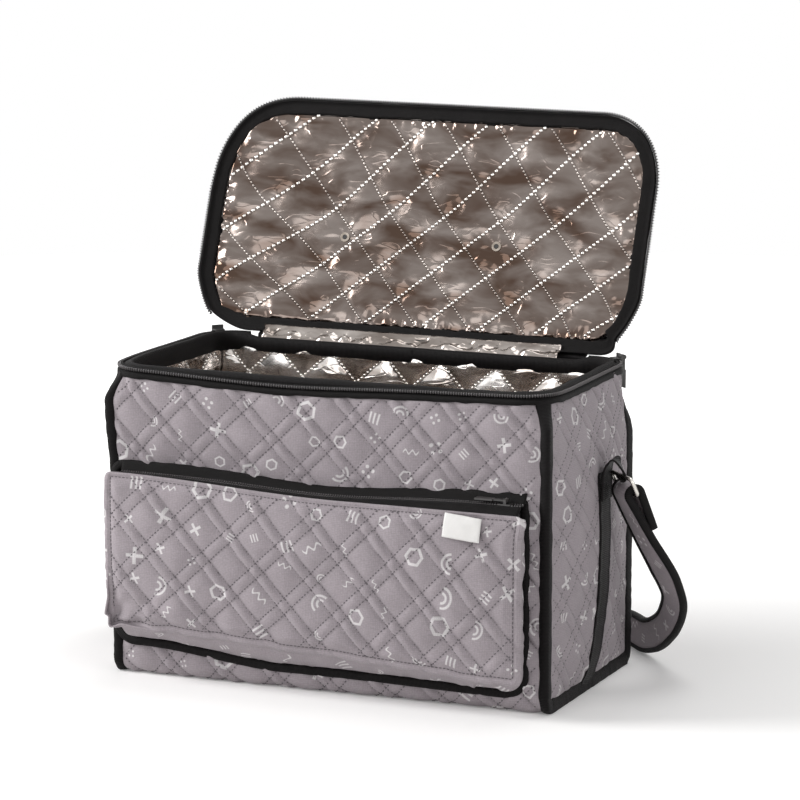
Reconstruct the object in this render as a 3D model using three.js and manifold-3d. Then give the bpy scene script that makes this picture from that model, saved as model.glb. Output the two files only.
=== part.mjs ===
// A soft quilted cooler bag: an insulated box with a zipped lid, a front pocket and a shoulder strap.
// Millimetres, +Z up, front facing -Y, origin at the middle of the base. The lid stands open.
import * as THREE from "three";
import { mergeVertices } from "three/addons/utils/BufferGeometryUtils.js";
import Module from "manifold-3d";

const wasm = await Module();
wasm.setup();

// Box, outside the canvas.
const bagWidth = 400;
const bagDepth = 204;
const wallHeight = 266;
const foldRadius = 14;
const seamLeg = 9;
const sideSwell = 12;
const gatherDrop = 61;
const gatherBand = 16;
const frontGatherDrop = 52;
const frontGatherBand = 7;
const cornerRadius = 32;
const cornerSteps = 5;

// Layers of a wall, from outside in.
const canvasThickness = 2.4;
const foamThickness = 5;
const liningThickness = 1.6;
const gap = 0.3;

// Main zip.
const tapeThickness = 1.5;
const tapeInset = 1.7;
const coilDepth = 2.8;
const coilHeight = 3.5;
const tapeHeight = 5;
const zipParting = 1.6;
const chainStart = 8;
const sliderClearance = 0.6;
const sliderAngle = 9;
const sliderPark = 45;
const chainSkip = 2;
const pullLength = 27;

// Lid.
const lidAngle = 112;
const hingeBead = 1.4;
const hingeSideGap = 11;
const lidTapeWidth = 14;
const lidInset = 12;
const lidSpread = 13;
const lidReach = 15;
const lidSpreadFrom = 90;
const lidSpreadTo = 45;
const handleWidth = 25;
const handleThickness = 2;
const handleHeight = 26;
const handleX = -14;
const handleY = 9;
const rivetSpacing = 146;
const rivetRadius = 2;

// Pocket on the front.
const pocketCentre = -2;
const pocketMargin = 9;
const pocketBottom = 22;
const pocketTop = 182;
const pocketStand = 24;
const pocketSwell = 5;
const pocketCorner = 14;
const pocketSlot = 4.8;
const pocketSliderInset = 21;
const labelWidth = 33;
const labelHeight = 20;
const labelInset = 51;
const labelZ = 161;

// Side webbing, rings and shoulder strap.
const webbingWidth = 25;
const webbingThickness = 1.6;
const webbingY = 2;
const webbingTop = 184;
const wireRadius = 1.8;
const ringWidth = 36;
const ringLength = 16;
const ringStandOff = 28;
const ringY = 2;
const ringZ = 188;
const strapWidth = 32;
const strapPad = 5.6;
const strapEdge = 7.2;
const strapBinding = 3.3;
const strapFold = 30;

const halfWidth = bagWidth / 2;
const halfDepth = bagDepth / 2;
const chainEnd = halfWidth - cornerRadius - chainStart;
const hingeHalfLength = halfWidth - cornerRadius - hingeSideGap;
const pocketWidth = bagWidth - 2 * pocketMargin;
const pocketSliderX = pocketCentre + pocketWidth / 2 - pocketSliderInset;
const labelX = pocketCentre + pocketWidth / 2 - labelInset;
const foamFace = canvasThickness + gap;
const liningFace = foamFace + foamThickness + gap;
const innerFace = liningFace + liningThickness;
const floorTop = liningFace + liningThickness;
const xAxis = new THREE.Vector3(1, 0, 0);
const yAxis = new THREE.Vector3(0, 1, 0);
const zAxis = new THREE.Vector3(0, 0, 1);

const canvasCloth = new THREE.MeshStandardMaterial({ color: 0x969094, roughness: 0.9, metalness: 0 });
const blackTape = new THREE.MeshStandardMaterial({ color: 0x1b1819, roughness: 0.85, metalness: 0 });
const foamSheet = new THREE.MeshStandardMaterial({ color: 0xe8e6e0, roughness: 0.95, metalness: 0 });
const foilFilm = new THREE.MeshStandardMaterial({ color: 0xb9b6b2, roughness: 0.25, metalness: 0.9 });
const blackMetal = new THREE.MeshStandardMaterial({ color: 0x17171a, roughness: 0.4, metalness: 0.6 });
const nickel = new THREE.MeshStandardMaterial({ color: 0xc4c2bd, roughness: 0.25, metalness: 1 });
const labelCloth = new THREE.MeshStandardMaterial({ color: 0xeceae6, roughness: 0.8, metalness: 0 });

const bag = new THREE.Group();
bag.name = "cooler_bag";

function addPiece(parent, name, geometry, material) {
  const mesh = new THREE.Mesh(geometry, material);
  mesh.name = name;
  parent.add(mesh);
  return mesh;
}

// A closed surface from points and triangles, turned so that its faces point out.
function surface(points, triangles) {
  let volume = 0;
  for (let i = 0; i < triangles.length; i += 3) {
    const [a, b, c] = [points[triangles[i]], points[triangles[i + 1]], points[triangles[i + 2]]];
    volume += a.dot(b.clone().cross(c));
  }
  const facing = triangles.slice();
  if (volume < 0) {
    facing.reverse();
  }
  const geometry = new THREE.BufferGeometry().setFromPoints(points);
  geometry.setIndex(facing);
  geometry.computeVertexNormals();
  return geometry;
}

// A flat section, given as pairs, carried along frames of origin, across and up.
function sweep(frames, section, closed = false) {
  const count = section.length;
  const points = [];
  for (const { origin, across, up } of frames) {
    for (const [a, b] of section) {
      points.push(origin.clone().addScaledVector(across, a).addScaledVector(up, b));
    }
  }
  const triangles = [];
  const steps = closed ? frames.length : frames.length - 1;
  for (let i = 0; i < steps; i += 1) {
    const here = i * count;
    const next = ((i + 1) % frames.length) * count;
    for (let j = 0; j < count; j += 1) {
      const k = (j + 1) % count;
      triangles.push(here + j, next + j, next + k, here + j, next + k, here + k);
    }
  }
  if (!closed) {
    const outline = section.map(([a, b]) => new THREE.Vector2(a, b));
    const clockwise = THREE.ShapeUtils.isClockWise(outline);
    const last = (frames.length - 1) * count;
    for (const [a, b, c] of THREE.ShapeUtils.triangulateShape(outline, [])) {
      const [p, q, r] = clockwise ? [a, c, b] : [a, b, c];
      triangles.push(p, q, r, last + p, last + r, last + q);
    }
  }
  return surface(points, triangles);
}

function even(steps) {
  return Array.from({ length: steps + 1 }, (_, i) => i / steps);
}

// A thin panel: place(u, v, inside) gives points of its outer face (inside 0) and inner face (inside 1).
function softPanel(us, vs, place) {
  const [uSteps, vSteps] = [us.length - 1, vs.length - 1];
  const points = [];
  for (const inside of [0, 1]) {
    for (const u of us) {
      for (const v of vs) {
        points.push(place(u, v, inside));
      }
    }
  }
  const layer = (uSteps + 1) * (vSteps + 1);
  const at = (i, j) => i * (vSteps + 1) + j;
  const triangles = [];
  const quad = (a, b, c, d) => triangles.push(a, b, c, a, c, d);
  for (let i = 0; i < uSteps; i += 1) {
    for (let j = 0; j < vSteps; j += 1) {
      const [a, b, c, d] = [at(i, j), at(i + 1, j), at(i + 1, j + 1), at(i, j + 1)];
      quad(a, b, c, d);
      quad(layer + a, layer + d, layer + c, layer + b);
    }
  }
  for (let i = 0; i < uSteps; i += 1) {
    quad(at(i, 0), layer + at(i, 0), layer + at(i + 1, 0), at(i + 1, 0));
    quad(at(i + 1, vSteps), layer + at(i + 1, vSteps), layer + at(i, vSteps), at(i, vSteps));
  }
  for (let j = 0; j < vSteps; j += 1) {
    quad(at(0, j + 1), layer + at(0, j + 1), layer + at(0, j), at(0, j));
    quad(at(uSteps, j), layer + at(uSteps, j), layer + at(uSteps, j + 1), at(uSteps, j + 1));
  }
  return surface(points, triangles);
}

function block(low, high) {
  const size = high.map((value, i) => value - low[i]);
  const middle = high.map((value, i) => (value + low[i]) / 2);
  return new THREE.BoxGeometry(...size).translate(...middle);
}

// A shape drawn in Y and Z, carried along X.
function alongX(shape, from, to) {
  const depth = to - from;
  const extruded = new THREE.ExtrudeGeometry(shape, { depth, bevelEnabled: false, curveSegments: 6 });
  extruded.translate(0, 0, from);
  return extruded.applyMatrix4(new THREE.Matrix4().makeBasis(yAxis, zAxis, xAxis));
}

function mirrored(geometry) {
  const bare = geometry.index ? geometry.toNonIndexed() : geometry;
  const flipped = new THREE.BufferGeometry();
  const source = bare.getAttribute("position");
  const points = [];
  for (let i = 0; i < source.count; i += 1) {
    points.push(new THREE.Vector3(-source.getX(i), source.getY(i), source.getZ(i)));
  }
  flipped.setFromPoints(points);
  flipped.setIndex(points.map((_, i) => i).reverse());
  flipped.computeVertexNormals();
  return flipped;
}

function toSolid(geometry) {
  const bare = geometry.clone();
  bare.deleteAttribute("normal");
  bare.deleteAttribute("uv");
  const merged = mergeVertices(bare, 1e-4);
  return new wasm.Manifold(
    new wasm.Mesh({
      numProp: 3,
      vertProperties: new Float32Array(merged.attributes.position.array),
      triVerts: new Uint32Array(merged.index.array),
    }),
  );
}

function fromSolid(solid) {
  const mesh = solid.getMesh();
  const geometry = new THREE.BufferGeometry();
  geometry.setAttribute("position", new THREE.BufferAttribute(new Float32Array(mesh.vertProperties), 3));
  geometry.setIndex(new THREE.BufferAttribute(new Uint32Array(mesh.triVerts), 1));
  geometry.computeVertexNormals();
  return geometry;
}

function join(...geometries) {
  return fromSolid(geometries.map(toSolid).reduce((a, b) => a.add(b)));
}

function cut(geometry, ...tools) {
  return fromSolid(tools.map(toSolid).reduce((a, b) => a.subtract(b), toSolid(geometry)));
}

// A round solid on the Z axis through (x, y), from pairs of radius and height.
function turned(x, y, profile) {
  const sides = 16;
  const circle = Array.from({ length: sides }, (_, i) => [
    Math.cos((2 * Math.PI * i) / sides),
    Math.sin((2 * Math.PI * i) / sides),
  ]);
  const frames = profile.map(([radius, height]) => ({
    origin: new THREE.Vector3(x, y, height),
    across: xAxis.clone().multiplyScalar(radius),
    up: yAxis.clone().multiplyScalar(radius),
  }));
  return sweep(frames, circle);
}

// The rounded outline of the mouth, from the back round by the right side; it can stop short at the back.
function mouthPath(openFrom = null) {
  const frames = [];
  const corners = [[1, 1], [1, -1], [-1, -1], [-1, 1]];
  corners.forEach(([sx, sy], corner) => {
    for (let i = 0; i <= cornerSteps; i += 1) {
      const turn = ((1 - corner - i / cornerSteps) * Math.PI) / 2;
      const across = new THREE.Vector3(Math.cos(turn), Math.sin(turn), 0);
      const origin = new THREE.Vector3(sx * (halfWidth - cornerRadius), sy * (halfDepth - cornerRadius), 0);
      frames.push({ origin: origin.addScaledVector(across, cornerRadius), across, up: zAxis });
    }
  });
  if (openFrom !== null) {
    frames.unshift({ origin: new THREE.Vector3(openFrom, halfDepth, 0), across: yAxis, up: zAxis });
    frames.push({ origin: new THREE.Vector3(-openFrom, halfDepth, 0), across: yAxis, up: zAxis });
  }
  return frames;
}

function rectangle(a0, a1, b0, b1) {
  return [[a0, b0], [a1, b0], [a1, b1], [a0, b1]];
}

// The open lid's outline: the mouth's at the hinge, and fuller at the sides and front, where the border
// that turns down over the mouth lies flat.
function lidPath() {
  const frames = mouthPath().map(({ origin, across, up }) => {
    const share = 1 - THREE.MathUtils.smoothstep(origin.y, lidSpreadTo, lidSpreadFrom);
    const forward = origin.y < 0 ? lidReach : 0;
    const spread = Math.sign(origin.x) * lidSpread * share;
    return { origin: origin.add(new THREE.Vector3(spread, -forward, 0)), across, up };
  });
  const corner = cornerSteps + 1;
  const sideStop = (sign) => ({
    origin: new THREE.Vector3(sign * (halfWidth + lidSpread), lidSpreadTo, 0),
    across: xAxis.clone().multiplyScalar(sign),
    up: zAxis,
  });
  return [
    ...frames.slice(0, corner), sideStop(1), ...frames.slice(corner, -corner), sideStop(-1), ...frames.slice(-corner),
  ];
}

function lidShape(inset) {
  const corners = lidPath().map(({ origin, across }) => origin.addScaledVector(across, -inset));
  return new THREE.Shape(corners.map(({ x, y }) => new THREE.Vector2(x, y)));
}

// How far a side wall bellies out at a given depth and height.
function swellAt(y, z) {
  const rise = Math.min(Math.max((z - seamLeg) / (wallHeight - seamLeg), 0), 1);
  return sideSwell * Math.max(1 - (y / (halfDepth - seamLeg)) ** 2, 0) * Math.sin(Math.PI * rise ** 0.8);
}

// Below the rim the square corners of the walls are gathered in to the round of the mouth.
const gatherFrom = wallHeight - gatherDrop;
const gatherTo = wallHeight - gatherBand;
const frontGatherFrom = wallHeight - frontGatherDrop;
const frontGatherTo = wallHeight - frontGatherBand;
const gatherStops = even(5).map((step) => gatherFrom + step * (gatherTo - gatherFrom)).concat(wallHeight);
function gathered({ x, y, z }) {
  const a = Math.abs(x) - (halfWidth - cornerRadius);
  const b = Math.abs(y) - (halfDepth - cornerRadius);
  const [along, reach] = a > b ? [b, a] : [a, b];
  const rise = y < 0 ? THREE.MathUtils.smoothstep(z, frontGatherFrom, frontGatherTo)
    : THREE.MathUtils.smoothstep(z, gatherFrom, gatherTo);
  if (along <= 0 || rise === 0) {
    return new THREE.Vector3(x, y, z);
  }
  const turn = ((along / cornerRadius) * Math.PI) / 4;
  const [inward, outward] = [reach * Math.sin(turn), reach * Math.cos(turn)];
  const [aRound, bRound] = a > b ? [outward, inward] : [inward, outward];
  const aNow = a + rise * (aRound - a);
  const bNow = b + rise * (bRound - b);
  return new THREE.Vector3(
    Math.sign(x) * (halfWidth - cornerRadius + aNow),
    Math.sign(y) * (halfDepth - cornerRadius + bNow),
    z,
  );
}

function gather(geometry) {
  const places = geometry.getAttribute("position");
  for (let i = 0; i < places.count; i += 1) {
    const { x, y, z } = gathered(new THREE.Vector3().fromBufferAttribute(places, i));
    places.setXYZ(i, x, y, z);
  }
  geometry.computeVertexNormals();
  return geometry;
}

// Stops along the front and back walls, close together where their ends are gathered.
const panelHalf = halfWidth - liningFace - 2;
const endStops = even(4).map((step) => panelHalf + (step - 1) * (panelHalf - halfWidth + cornerRadius));
function bothWays(stops) {
  return stops.map((x) => -x).reverse().concat(stops);
}

// Canvas: the wrap is one panel folded under the base, with a bound side panel at each end.
function wrapLine(inset) {
  const radius = foldRadius - inset;
  const line = gatherStops.map((z) => [-halfDepth + inset, z]).reverse();
  for (const [side, start] of [[-1, 1], [1, 1.5]]) {
    for (const step of even(6)) {
      const turn = (start + step / 2) * Math.PI;
      const y = side * (halfDepth - foldRadius) + radius * Math.cos(turn);
      line.push([y, foldRadius + radius * Math.sin(turn)]);
    }
  }
  return line.concat(gatherStops.map((z) => [halfDepth - inset, z]));
}
const wrapFaces = [wrapLine(0), wrapLine(canvasThickness)];
const wrapStops = bothWays([...endStops, halfWidth - seamLeg]);
const wrapPanel = softPanel(wrapStops, [...wrapFaces[0].keys()], (x, i, inside) => {
  const [y, z] = wrapFaces[inside][i];
  return gathered(new THREE.Vector3(x, y, z));
});
addPiece(bag, "wrap_panel", wrapPanel, canvasCloth);

// Stops across and up a side wall, shared by its layers.
const sideHalf = halfDepth - innerFace - gap;
const sideRound = halfDepth - cornerRadius;
const sideStops = [sideRound / 3, (2 * sideRound) / 3];
sideStops.push(...even(4).map((step) => sideRound + step * (sideHalf - sideRound)));
const sideFoot = 2 * foldRadius;
const sideRows = [0, 0.25, 0.5, 0.75].map((step) => sideFoot + step * (gatherFrom - sideFoot));

// One layer of a side wall, between two depths from the canvas face; its bottom corners are cut in.
function sideLayer(halfY, bottom, from, to, cutIn) {
  const ends = halfY > sideHalf ? [...sideStops, halfY] : sideStops;
  const ys = [...ends.map((y) => -y).reverse(), 0, ...ends];
  const panel = softPanel(ys, [bottom, bottom + seamCorner, ...sideRows, ...gatherStops], (y, z, inside) => {
    const cutY = z === bottom ? y * (1 - cutIn / halfY) : y;
    return new THREE.Vector3(halfWidth + swellAt(cutY, z) - (inside ? to : from), cutY, z);
  });
  return gather(panel);
}

const seamCorner = foldRadius - seamLeg;
const sidePanel = sideLayer(halfDepth - seamLeg, seamLeg, 0, canvasThickness, seamCorner);
const sideFoam = sideLayer(halfDepth - liningFace, foldRadius + gap, foamFace, foamFace + foamThickness, 0);
const sideLining = sideLayer(sideHalf, floorTop + gap, liningFace, innerFace, 0);

// Bound seam round each side panel: down the front edge, along the bottom and up the back edge.
function seamPath() {
  const frames = [];
  const add = (y, z, my, mz) => {
    const up = new THREE.Vector3(0, my, mz);
    frames.push({ origin: new THREE.Vector3(halfWidth, y, z), across: xAxis, up });
  };
  for (const z of gatherStops.slice().reverse()) {
    add(-halfDepth, z, -1, 0);
  }
  for (let i = 0; i <= cornerSteps; i += 1) {
    const turn = Math.PI + ((i / cornerSteps) * Math.PI) / 2;
    const [c, s] = [Math.cos(turn), Math.sin(turn)];
    add(-halfDepth + foldRadius + c * foldRadius, foldRadius + s * foldRadius, c, s);
  }
  for (let i = 0; i <= cornerSteps; i += 1) {
    const turn = 1.5 * Math.PI + ((i / cornerSteps) * Math.PI) / 2;
    const [c, s] = [Math.cos(turn), Math.sin(turn)];
    add(halfDepth - foldRadius + c * foldRadius, foldRadius + s * foldRadius, c, s);
  }
  for (const z of gatherStops) {
    add(halfDepth, z, 1, 0);
  }
  return frames;
}

const seamBand = seamLeg - 2 * gap;
const seamRound = 3;
const seamThickness = 1.8;
const seamInner = seamThickness + seamRound * 0.6;
const seamSection = [
  [-seamBand, 0],
  [-seamRound, 0],
  [0, -seamRound],
  [0, -seamBand],
  [-seamThickness, -seamBand],
  [-seamThickness, -seamInner],
  [-seamInner, -seamThickness],
  [-seamBand, -seamThickness],
];
const seamBinding = gather(sweep(seamPath(), seamSection));

for (const [side, shape] of [["right", (g) => g], ["left", mirrored]]) {
  addPiece(bag, `${side}_side_panel`, shape(sidePanel), canvasCloth);
  addPiece(bag, `foam_${side}`, shape(sideFoam), foamSheet);
  addPiece(bag, `lining_${side}`, shape(sideLining), foilFilm);
  addPiece(bag, `${side}_seam_binding`, shape(seamBinding), blackTape);
}

// Foam sheets and foil panels of the front, back and base.
const foamBottom = foldRadius + gap;
function wallLayer(sign, bottom, from, to) {
  return softPanel(bothWays(endStops), [bottom, ...gatherStops], (x, z, inside) => {
    return gathered(new THREE.Vector3(x, sign * (halfDepth - (inside ? to : from)), z));
  });
}
for (const [wall, sign] of [["front", -1], ["back", 1]]) {
  const foam = wallLayer(sign, foamBottom, foamFace, foamFace + foamThickness);
  const foil = wallLayer(sign, floorTop + gap, liningFace, innerFace);
  addPiece(bag, `foam_${wall}`, foam, foamSheet);
  addPiece(bag, `lining_${wall}`, foil, foilFilm);
}
const baseFoamHalf = halfDepth - foldRadius;
const floorHalf = halfDepth - innerFace - gap;
addPiece(
  bag,
  "foam_base",
  block([-panelHalf, -baseFoamHalf, foamFace], [panelHalf, baseFoamHalf, foamFace + foamThickness]),
  foamSheet,
);
addPiece(
  bag,
  "lining_floor",
  block([-panelHalf, -floorHalf, liningFace], [panelHalf, floorHalf, floorTop]),
  foilFilm,
);

// Rim: binding over the inner top edge, then the body half of the zip standing on the wall.
const rimDrop = 10;
const rimRise = 6.5;
const rimOuter = -innerFace - gap;
const rimBand = sweep(
  mouthPath(),
  rectangle(rimOuter - webbingThickness, rimOuter, wallHeight - rimDrop, wallHeight + rimRise),
  true,
);
const hingeNotch = block(
  [-chainEnd, halfDepth - 2 * innerFace, wallHeight + gap],
  [chainEnd, halfDepth, wallHeight + 2 * rimRise],
);
addPiece(bag, "rim_binding", cut(rimBand, hingeNotch), blackTape);
const tapeOuter = -tapeInset;
const tapeInner = tapeOuter - tapeThickness;
const tapeBottom = wallHeight + gap;
const coilTop = tapeBottom + tapeHeight;
const coilInner = tapeOuter + gap;
const coilOuter = coilInner + coilDepth;
const bodyTape = sweep(mouthPath(chainEnd), rectangle(tapeInner, tapeOuter, tapeBottom, coilTop));
const chainPath = mouthPath().slice(chainSkip, -chainSkip);
const bodyCoil = sweep(chainPath, rectangle(coilInner, coilOuter, coilTop - coilHeight, coilTop));
addPiece(bag, "body_zip_tape", bodyTape, blackTape);
addPiece(bag, "body_zip_coil", bodyCoil, blackTape);

// Lid levels when shut, counted from the floor.
const lidCoilBottom = coilTop + zipParting;
const lidCoilTop = lidCoilBottom + coilHeight;
const lidTapeTop = lidCoilTop + gap;
const lidLiningBottom = lidTapeTop + gap;
const lidFoamBottom = lidLiningBottom + liningThickness + gap;
const lidCanvasBottom = lidFoamBottom + foamThickness + gap;
const lidTop = lidCanvasBottom + canvasThickness;

// Hinge: a cloth panel rises from the back wall to a corded bead under the lid's rear edge, which turns round it.
const lidRear = halfDepth - tapeInset;
const hingeY = lidRear + 1.2;
const hingeZ = coilTop;
const hingeFoot = halfDepth - canvasThickness / 2;
const beadTurn = Math.acos(1 / hingeBead);
const hinge = new THREE.Vector3(0, hingeY, hingeZ);
const hingeProfile = new THREE.Shape();
hingeProfile.moveTo(hingeFoot - 1, wallHeight + gap);
hingeProfile.lineTo(hingeFoot + 1, wallHeight + gap);
hingeProfile.lineTo(hingeY + 1, hingeZ - Math.sqrt(hingeBead ** 2 - 1));
hingeProfile.absarc(hingeY, hingeZ, hingeBead, -beadTurn, Math.PI + beadTurn, false);
addPiece(bag, "hinge_panel", alongX(hingeProfile, -hingeHalfLength, hingeHalfLength), blackTape);
const hingeFoil = block(
  [-hingeHalfLength, hingeFoot - 1 - gap - 1, wallHeight + gap],
  [hingeHalfLength, hingeFoot - 1 - gap, coilTop - 0.5],
);
addPiece(bag, "hinge_lining", hingeFoil, foilFilm);

// Lid, drawn shut and then swung open about the hinge bead.
const lidSwing = new THREE.Group();
lidSwing.position.copy(hinge);
lidSwing.rotation.x = THREE.MathUtils.degToRad(-lidAngle);
bag.add(lidSwing);
const lid = new THREE.Group();
lid.position.copy(hinge).negate();
lidSwing.add(lid);

const rivetX = rivetSpacing / 2;
const rivetHole = (x) =>
  turned(x, handleY, [
    [rivetRadius + gap, coilTop],
    [rivetRadius + gap, lidTop + 2 * handleHeight],
  ]);
const rivetHoles = [rivetHole(handleX - rivetX), rivetHole(handleX + rivetX)];
const lidPanelInset = tapeInset + tapeThickness + gap + lidInset;
function lidLayer(from, thickness) {
  const outline = lidShape(lidPanelInset);
  const layer = new THREE.ExtrudeGeometry(outline, { depth: thickness, bevelEnabled: false });
  return cut(layer.translate(0, 0, from), ...rivetHoles);
}
addPiece(lid, "lid_outer", lidLayer(lidCanvasBottom, canvasThickness), canvasCloth);
addPiece(lid, "lid_foam", lidLayer(lidFoamBottom, foamThickness), foamSheet);
addPiece(lid, "lid_lining", lidLayer(lidLiningBottom, liningThickness), foilFilm);
addPiece(
  lid,
  "lid_edge_binding",
  sweep(lidPath(), rectangle(tapeInner - lidInset, tapeOuter - lidInset, lidLiningBottom, lidTop), true),
  blackTape,
);
const flange = tapeInner - lidTapeWidth;
const lidTapeSection = [
  [flange, lidTapeTop - tapeThickness],
  [tapeInner, lidTapeTop - tapeThickness],
  [tapeInner, lidCoilBottom],
  [tapeOuter, lidCoilBottom],
  [tapeOuter, lidTapeTop],
  [flange, lidTapeTop],
];
addPiece(lid, "lid_zip_tape", sweep(lidPath(), lidTapeSection, true), blackTape);
const lidChainPath = lidPath().slice(chainSkip + 1, -chainSkip - 1);
const lidCoil = sweep(lidChainPath, rectangle(coilInner, coilOuter, lidCoilBottom, lidCoilTop));
addPiece(lid, "lid_zip_coil", lidCoil, blackTape);

// Carry handle on the lid: a webbing arch with flat riveted ends.
const handleBase = lidTop + gap + handleThickness / 2;
const handleFlat = 16;
const handlePath = [];
for (const x of [-rivetX - handleFlat, -rivetX + handleFlat]) {
  handlePath.push([x, handleBase]);
}
const archHalf = rivetX - handleFlat;
for (let i = 1; i < 12; i += 1) {
  const turn = (Math.PI * i) / 12;
  handlePath.push([-archHalf * Math.cos(turn), handleBase + handleHeight * Math.sin(turn)]);
}
for (const x of [rivetX - handleFlat, rivetX + handleFlat]) {
  handlePath.push([x, handleBase]);
}
const handleFrames = handlePath.map(([x, z], i) => {
  const before = handlePath[Math.max(i - 1, 0)];
  const after = handlePath[Math.min(i + 1, handlePath.length - 1)];
  const run = new THREE.Vector3(after[0] - before[0], 0, after[1] - before[1]).normalize();
  const flat = z === handleBase;
  const origin = new THREE.Vector3(handleX + x, handleY, z);
  return { origin, across: yAxis, up: flat ? zAxis : run.cross(yAxis) };
});
const handleSection = rectangle(-handleWidth / 2, handleWidth / 2, -handleThickness / 2, handleThickness / 2);
addPiece(lid, "lid_handle", cut(sweep(handleFrames, handleSection), ...rivetHoles), blackTape);
const handleTop = handleBase + handleThickness / 2;
const rivetFoot = lidLiningBottom - gap - 1.2;
for (const [side, x] of [["left", handleX - rivetX], ["right", handleX + rivetX]]) {
  const profile = [
    [rivetRadius, rivetFoot],
    [rivetRadius, handleTop + gap],
    [rivetRadius * 2.4, handleTop + gap],
    [rivetRadius * 2, handleTop + gap + 1.4],
  ];
  addPiece(lid, `handle_rivet_${side}`, turned(x, handleY, profile), blackMetal);
  const washerPath = Array.from({ length: 16 }, (_, i) => {
    const across = new THREE.Vector3(Math.cos((Math.PI * i) / 8), Math.sin((Math.PI * i) / 8), 0);
    return { origin: new THREE.Vector3(x, handleY, 0), across, up: zAxis };
  });
  const washerSection = rectangle(rivetRadius + gap, rivetRadius * 2.2, rivetFoot, rivetFoot + 1.2);
  addPiece(lid, `rivet_washer_${side}`, sweep(washerPath, washerSection, true), blackMetal);
}

// Main zip sliders, parked on the two rear corners, drawn at the back wall and then turned into place.
const arcCentre = new THREE.Vector3(halfWidth - cornerRadius, halfDepth - cornerRadius, 0);
const sliderOut = coilOuter + sliderClearance;
const sliderIn = tapeInner - sliderClearance;
const sliderFace = sliderOut + 1.4;
const bridgeBottom = coilTop + 0.4;
const bridgeTop = lidCoilBottom - 0.4;
const sliderFoot = coilTop - coilHeight - 0.6;
const sliderSection = [
  [sliderFace, sliderFoot],
  [sliderFace, lidCoilTop - 0.6],
  [sliderOut, lidCoilTop - 0.6],
  [sliderOut, bridgeTop],
  [sliderIn - 1.2, bridgeTop],
  [sliderIn - 1.2, sliderFoot],
  [sliderIn, sliderFoot],
  [sliderIn, bridgeBottom],
  [sliderOut, bridgeBottom],
  [sliderOut, sliderFoot],
];
const sliderFrames = [-1, -0.5, 0, 0.5, 1].map((step) => {
  const turn = Math.PI / 2 + THREE.MathUtils.degToRad(sliderAngle * step);
  const across = new THREE.Vector3(Math.cos(turn), Math.sin(turn), 0);
  return { origin: arcCentre.clone().addScaledVector(across, cornerRadius), across, up: zAxis };
});
const barRadius = 0.8;
const eyeRadius = 2;
const eyeWidth = 4.4;
const lugWidth = 1.2;
const barY = halfDepth + sliderFace + eyeRadius + sliderClearance;
const barZ = coilTop + 1.5;
const lugIn = eyeWidth / 2 + gap;

// Two lugs with a bar between them, standing along +Y from a face; the bar runs along X.
function pullBracket(x, face, y, z) {
  const round = new THREE.Shape().absarc(y, z, barRadius, 0, 2 * Math.PI, false);
  const lugs = [-1, 1].map((sign) => {
    const [a, b] = [x + sign * lugIn, x + sign * (lugIn + lugWidth)];
    return block([Math.min(a, b), face - 0.3, z - 1.2], [Math.max(a, b), y + 1.2, z + 1.2]);
  });
  return join(alongX(round, x - lugIn - 0.5, x + lugIn + 0.5), ...lugs);
}

// A pull hanging from its eye, which goes round the bar.
function hangingPull(x, y, z) {
  const neck = 0.7;
  const drop = Math.sqrt(eyeRadius ** 2 - neck ** 2);
  const start = Math.atan2(-drop, neck);
  const shape = new THREE.Shape();
  shape.moveTo(y - neck, z - pullLength);
  shape.lineTo(y + neck, z - pullLength);
  shape.absarc(y, z, eyeRadius, start, Math.PI - start, false);
  const hole = new THREE.Path().absarc(y, z, barRadius + gap, 0, 2 * Math.PI, true);
  shape.holes.push(hole);
  const stem = alongX(shape, x - eyeWidth / 2, x + eyeWidth / 2);
  return join(stem, block([x - 4, y - neck, z - pullLength], [x + 4, y + neck, z - 11]));
}

const mainSlider = join(
  sweep(sliderFrames, sliderSection),
  pullBracket(arcCentre.x, halfDepth + sliderFace, barY, barZ),
);
const mainPull = hangingPull(arcCentre.x, barY, barZ);
for (const geometry of [mainSlider, mainPull]) {
  geometry.translate(-arcCentre.x, -arcCentre.y, 0);
  geometry.rotateZ(THREE.MathUtils.degToRad(-sliderPark));
  geometry.translate(arcCentre.x, arcCentre.y, 0);
}
for (const [side, shape] of [["right", (g) => g], ["left", mirrored]]) {
  addPiece(bag, `${side}_slider`, shape(mainSlider), blackMetal);
  addPiece(bag, `${side}_pull`, shape(mainPull), blackMetal);
}

// Front pocket, from the binding on the bag outwards.
const pocketHalf = pocketWidth / 2;
const pocketMiddle = (pocketBottom + pocketTop) / 2;
const pocketHalfHeight = (pocketTop - pocketBottom) / 2;

// The pocket's outline on the bag front: down the left, along the bottom and up the right.
function pocketPath(closed) {
  const frames = [];
  const add = (x, z, c, s) =>
    frames.push({ origin: new THREE.Vector3(x, 0, z), across: new THREE.Vector3(c, 0, s), up: yAxis });
  const top = closed ? pocketTop : pocketTop - 2;
  const mitre = closed ? 1 : 0;
  add(pocketCentre - pocketHalf, top, -1, mitre);
  for (const [side, start] of [[-1, 1], [1, 1.5]]) {
    for (let i = 0; i <= cornerSteps; i += 1) {
      const turn = (start + (0.5 * i) / cornerSteps) * Math.PI;
      const [c, s] = [Math.cos(turn), Math.sin(turn)];
      const x = pocketCentre + side * (pocketHalf - pocketCorner);
      add(x + c * pocketCorner, pocketBottom + pocketCorner + s * pocketCorner, c, s);
    }
  }
  add(pocketCentre + pocketHalf, top, 1, mitre);
  return frames;
}

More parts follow.
